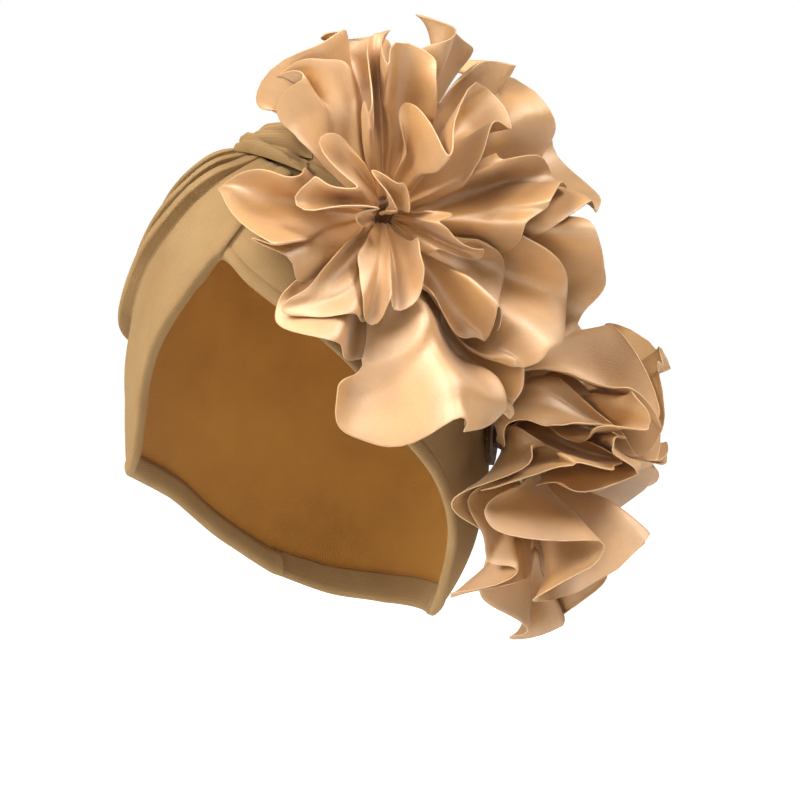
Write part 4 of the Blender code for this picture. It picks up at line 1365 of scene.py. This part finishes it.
@dataclass
class Studio:
    """A plain pale floor, soft light and the camera at the photograph's angle."""

    floor_level: float = -0.60
    azimuth: float = 30.0
    elevation: float = 5.0
    distance: float = 1.6
    scale: float = 0.46 * MM
    # The picture's width and the place of the head's middle left of and above its centre, in
    # pixels. The sensor's width is in millimetres.
    picture: int = 800
    middle_left: int = 90
    middle_up: int = 10
    sensor: float = 36.0
    lights: tuple[Softbox, ...] = (
        Softbox("key", (-0.6, -1.55, 1.15), (1.3, 1.3), 76.0, "#fffaf4"),
        Softbox("front", (1.1, -1.7, 0.5), (1.0, 1.0), 8.0, "#ffffff"),
        Softbox("side", (1.2, -0.2, 1.5), (0.9, 0.9), 44.0, "#fffcfa"),
        Softbox("back", (0.9, 1.4, 1.2), (1.2, 1.2), 9.0, "#ffffff"),
    )

    def floor(self) -> None:
        """A wide pale floor, which the cap is held above."""
        made, tree = new_material("matt_paper")
        grain = cloud(tree, scale=300.0, detail=3.0)
        body = add_node(tree, "ShaderNodeTexCoord", {}, {})
        reach = add_node(tree, "ShaderNodeVectorMath", {"operation": "LENGTH"},
                         {0: body.outputs["Object"]})
        # The far floor is lit as brightly as the white room, so that no horizon shows.
        glow = add_node(tree, "ShaderNodeMapRange", {"interpolation_type": "SMOOTHSTEP"}, {
            "Value": reach.outputs["Value"], "From Min": 0.5, "From Max": 1.3,
            "To Min": 0.3, "To Max": 1.0})
        seen = add_node(tree, "ShaderNodeLightPath", {}, {})
        bright = add_node(tree, "ShaderNodeMath", {"operation": "MULTIPLY"},
                          {0: glow.outputs[0], 1: seen.outputs["Is Camera Ray"]})
        add_surface(tree, {
            "Base Color": linear("#f4f3f1"), "Roughness": 0.9,
            "Normal": raised(tree, strength=0.05, depth_mm=0.2, height=grain),
            "Emission Color": linear("#ffffff"), "Emission Strength": bright.outputs[0]})
        shape = bmesh.new()
        bmesh.ops.create_circle(shape, cap_ends=True, segments=64, radius=40.0)
        mesh = bpy.data.meshes.new("paper_floor")
        shape.to_mesh(mesh)
        shape.free()
        mesh.transform(Matrix.Translation((0.0, 0.0, self.floor_level)))
        mesh.materials.append(made)
        add_object("paper_floor", mesh)

    def surroundings(self) -> None:
        """A white room: bright to the camera, softer as a light."""
        world = bpy.data.worlds.new("white_room")
        world.use_nodes = True
        tree = world.node_tree
        tree.nodes.clear()
        path = add_node(tree, "ShaderNodeLightPath", {}, {})
        strength = add_node(tree, "ShaderNodeMapRange", {}, {
            "Value": path.outputs["Is Camera Ray"], "To Min": 0.05, "To Max": 1.0})
        # Bounced light in the room is warm. What the camera sees of the room is white.
        colour = add_node(tree, "ShaderNodeMix", {"data_type": "RGBA"}, {
            "Factor": path.outputs["Is Camera Ray"], 6: linear("#ffdcb4"), 7: linear("#ffffff")})
        light = add_node(tree, "ShaderNodeBackground", {},
                         {"Color": colour.outputs[2], "Strength": strength.outputs[0]})
        add_node(tree, "ShaderNodeOutputWorld", {}, {0: light.outputs[0]})
        bpy.context.scene.world = world
        bpy.context.scene.view_settings.view_transform = "Standard"

    def camera(self) -> None:
        """The camera, at the photograph's viewing angle and framing."""
        turn = math.radians(self.azimuth)
        back = Vector(facing(self.azimuth, self.elevation))
        right = Vector((math.cos(turn), math.sin(turn), 0.0))
        up = back.cross(right)
        target = Vector((0.0, 0.0, -HEAD.rise)) + right * (self.middle_left * self.scale)
        target = target - up * (self.middle_up * self.scale)
        lens = bpy.data.cameras.new("camera")
        lens.sensor_width = self.sensor
        lens.lens = self.sensor * self.distance / (self.picture * self.scale)
        lens.clip_start, lens.clip_end = 0.05, 100.0
        eye = add_object("camera", lens)
        eye.location = target + back * self.distance
        eye.rotation_euler = back.to_track_quat("Z", "Y").to_euler()
        bpy.context.scene.camera = eye

    def build(self) -> None:
        """Sets up the whole studio."""
        self.floor()
        self.surroundings()
        self.camera()
        for light in self.lights:
            light.build()


def flower_divider(upper: SatinFlower, lower: SatinFlower) -> tuple[np.ndarray, np.ndarray]:
    """The plane where the petals of the two flowers meet, as a point and a direction."""
    away = (upper.centre - lower.centre) / np.linalg.norm(upper.centre - lower.centre)
    away = away + DIVIDER_TILT * HEAD.normal(upper.turn, upper.level)
    meeting = upper.centre + (lower.centre - upper.centre) * DIVIDER_SHARE
    return meeting, away / np.linalg.norm(away)


def main() -> None:
    """Builds the studio and dresses the whole cap."""
    logging.basicConfig(level=logging.INFO, format="%(name)s: %(message)s")
    Studio().build()
    face = StretchJersey().material()
    reverse = StretchJersey(KnitSide.REVERSE, "#b9883f", "#a87638", roughness=0.9).material()
    satin, felt, thread = HeatCutSatin().material(), PressedFelt().material(), SpunThread().material()
    cap = Cap()
    cap.band("right_band_jersey", "right_band", cap.right_edge, RIGHT_UPPER, True, face)
    cap.band("left_band_jersey", "left_band", cap.left_edge, LEFT_UPPER, False, face)
    cap.crown(face, reverse)
    cap.nape_hem(face)
    cap.hem_stitches(thread)
    for row in TWISTS:
        cap.twist(row, face)
    upper = SatinFlower("upper_petal", UPPER_PETALS, *UPPER_SITE, face_turn=50, face_rise=0,
                        radius=0.088, sway_starts=(270, 40, 135), side=1.0,
                        core_node="upper_core")
    lower = SatinFlower("lower_petal", LOWER_PETALS, *LOWER_SITE, face_turn=99, face_rise=-8,
                        radius=0.088, sway_starts=(250, 140, 30), side=-1.0,
                        core_node="lower_core", small_ruffle=0.7 * MM)
    divider = flower_divider(upper, lower)
    upper.build(satin, felt, divider)
    lower.build(satin, felt, divider)


if __name__ == "__main__":
    main()
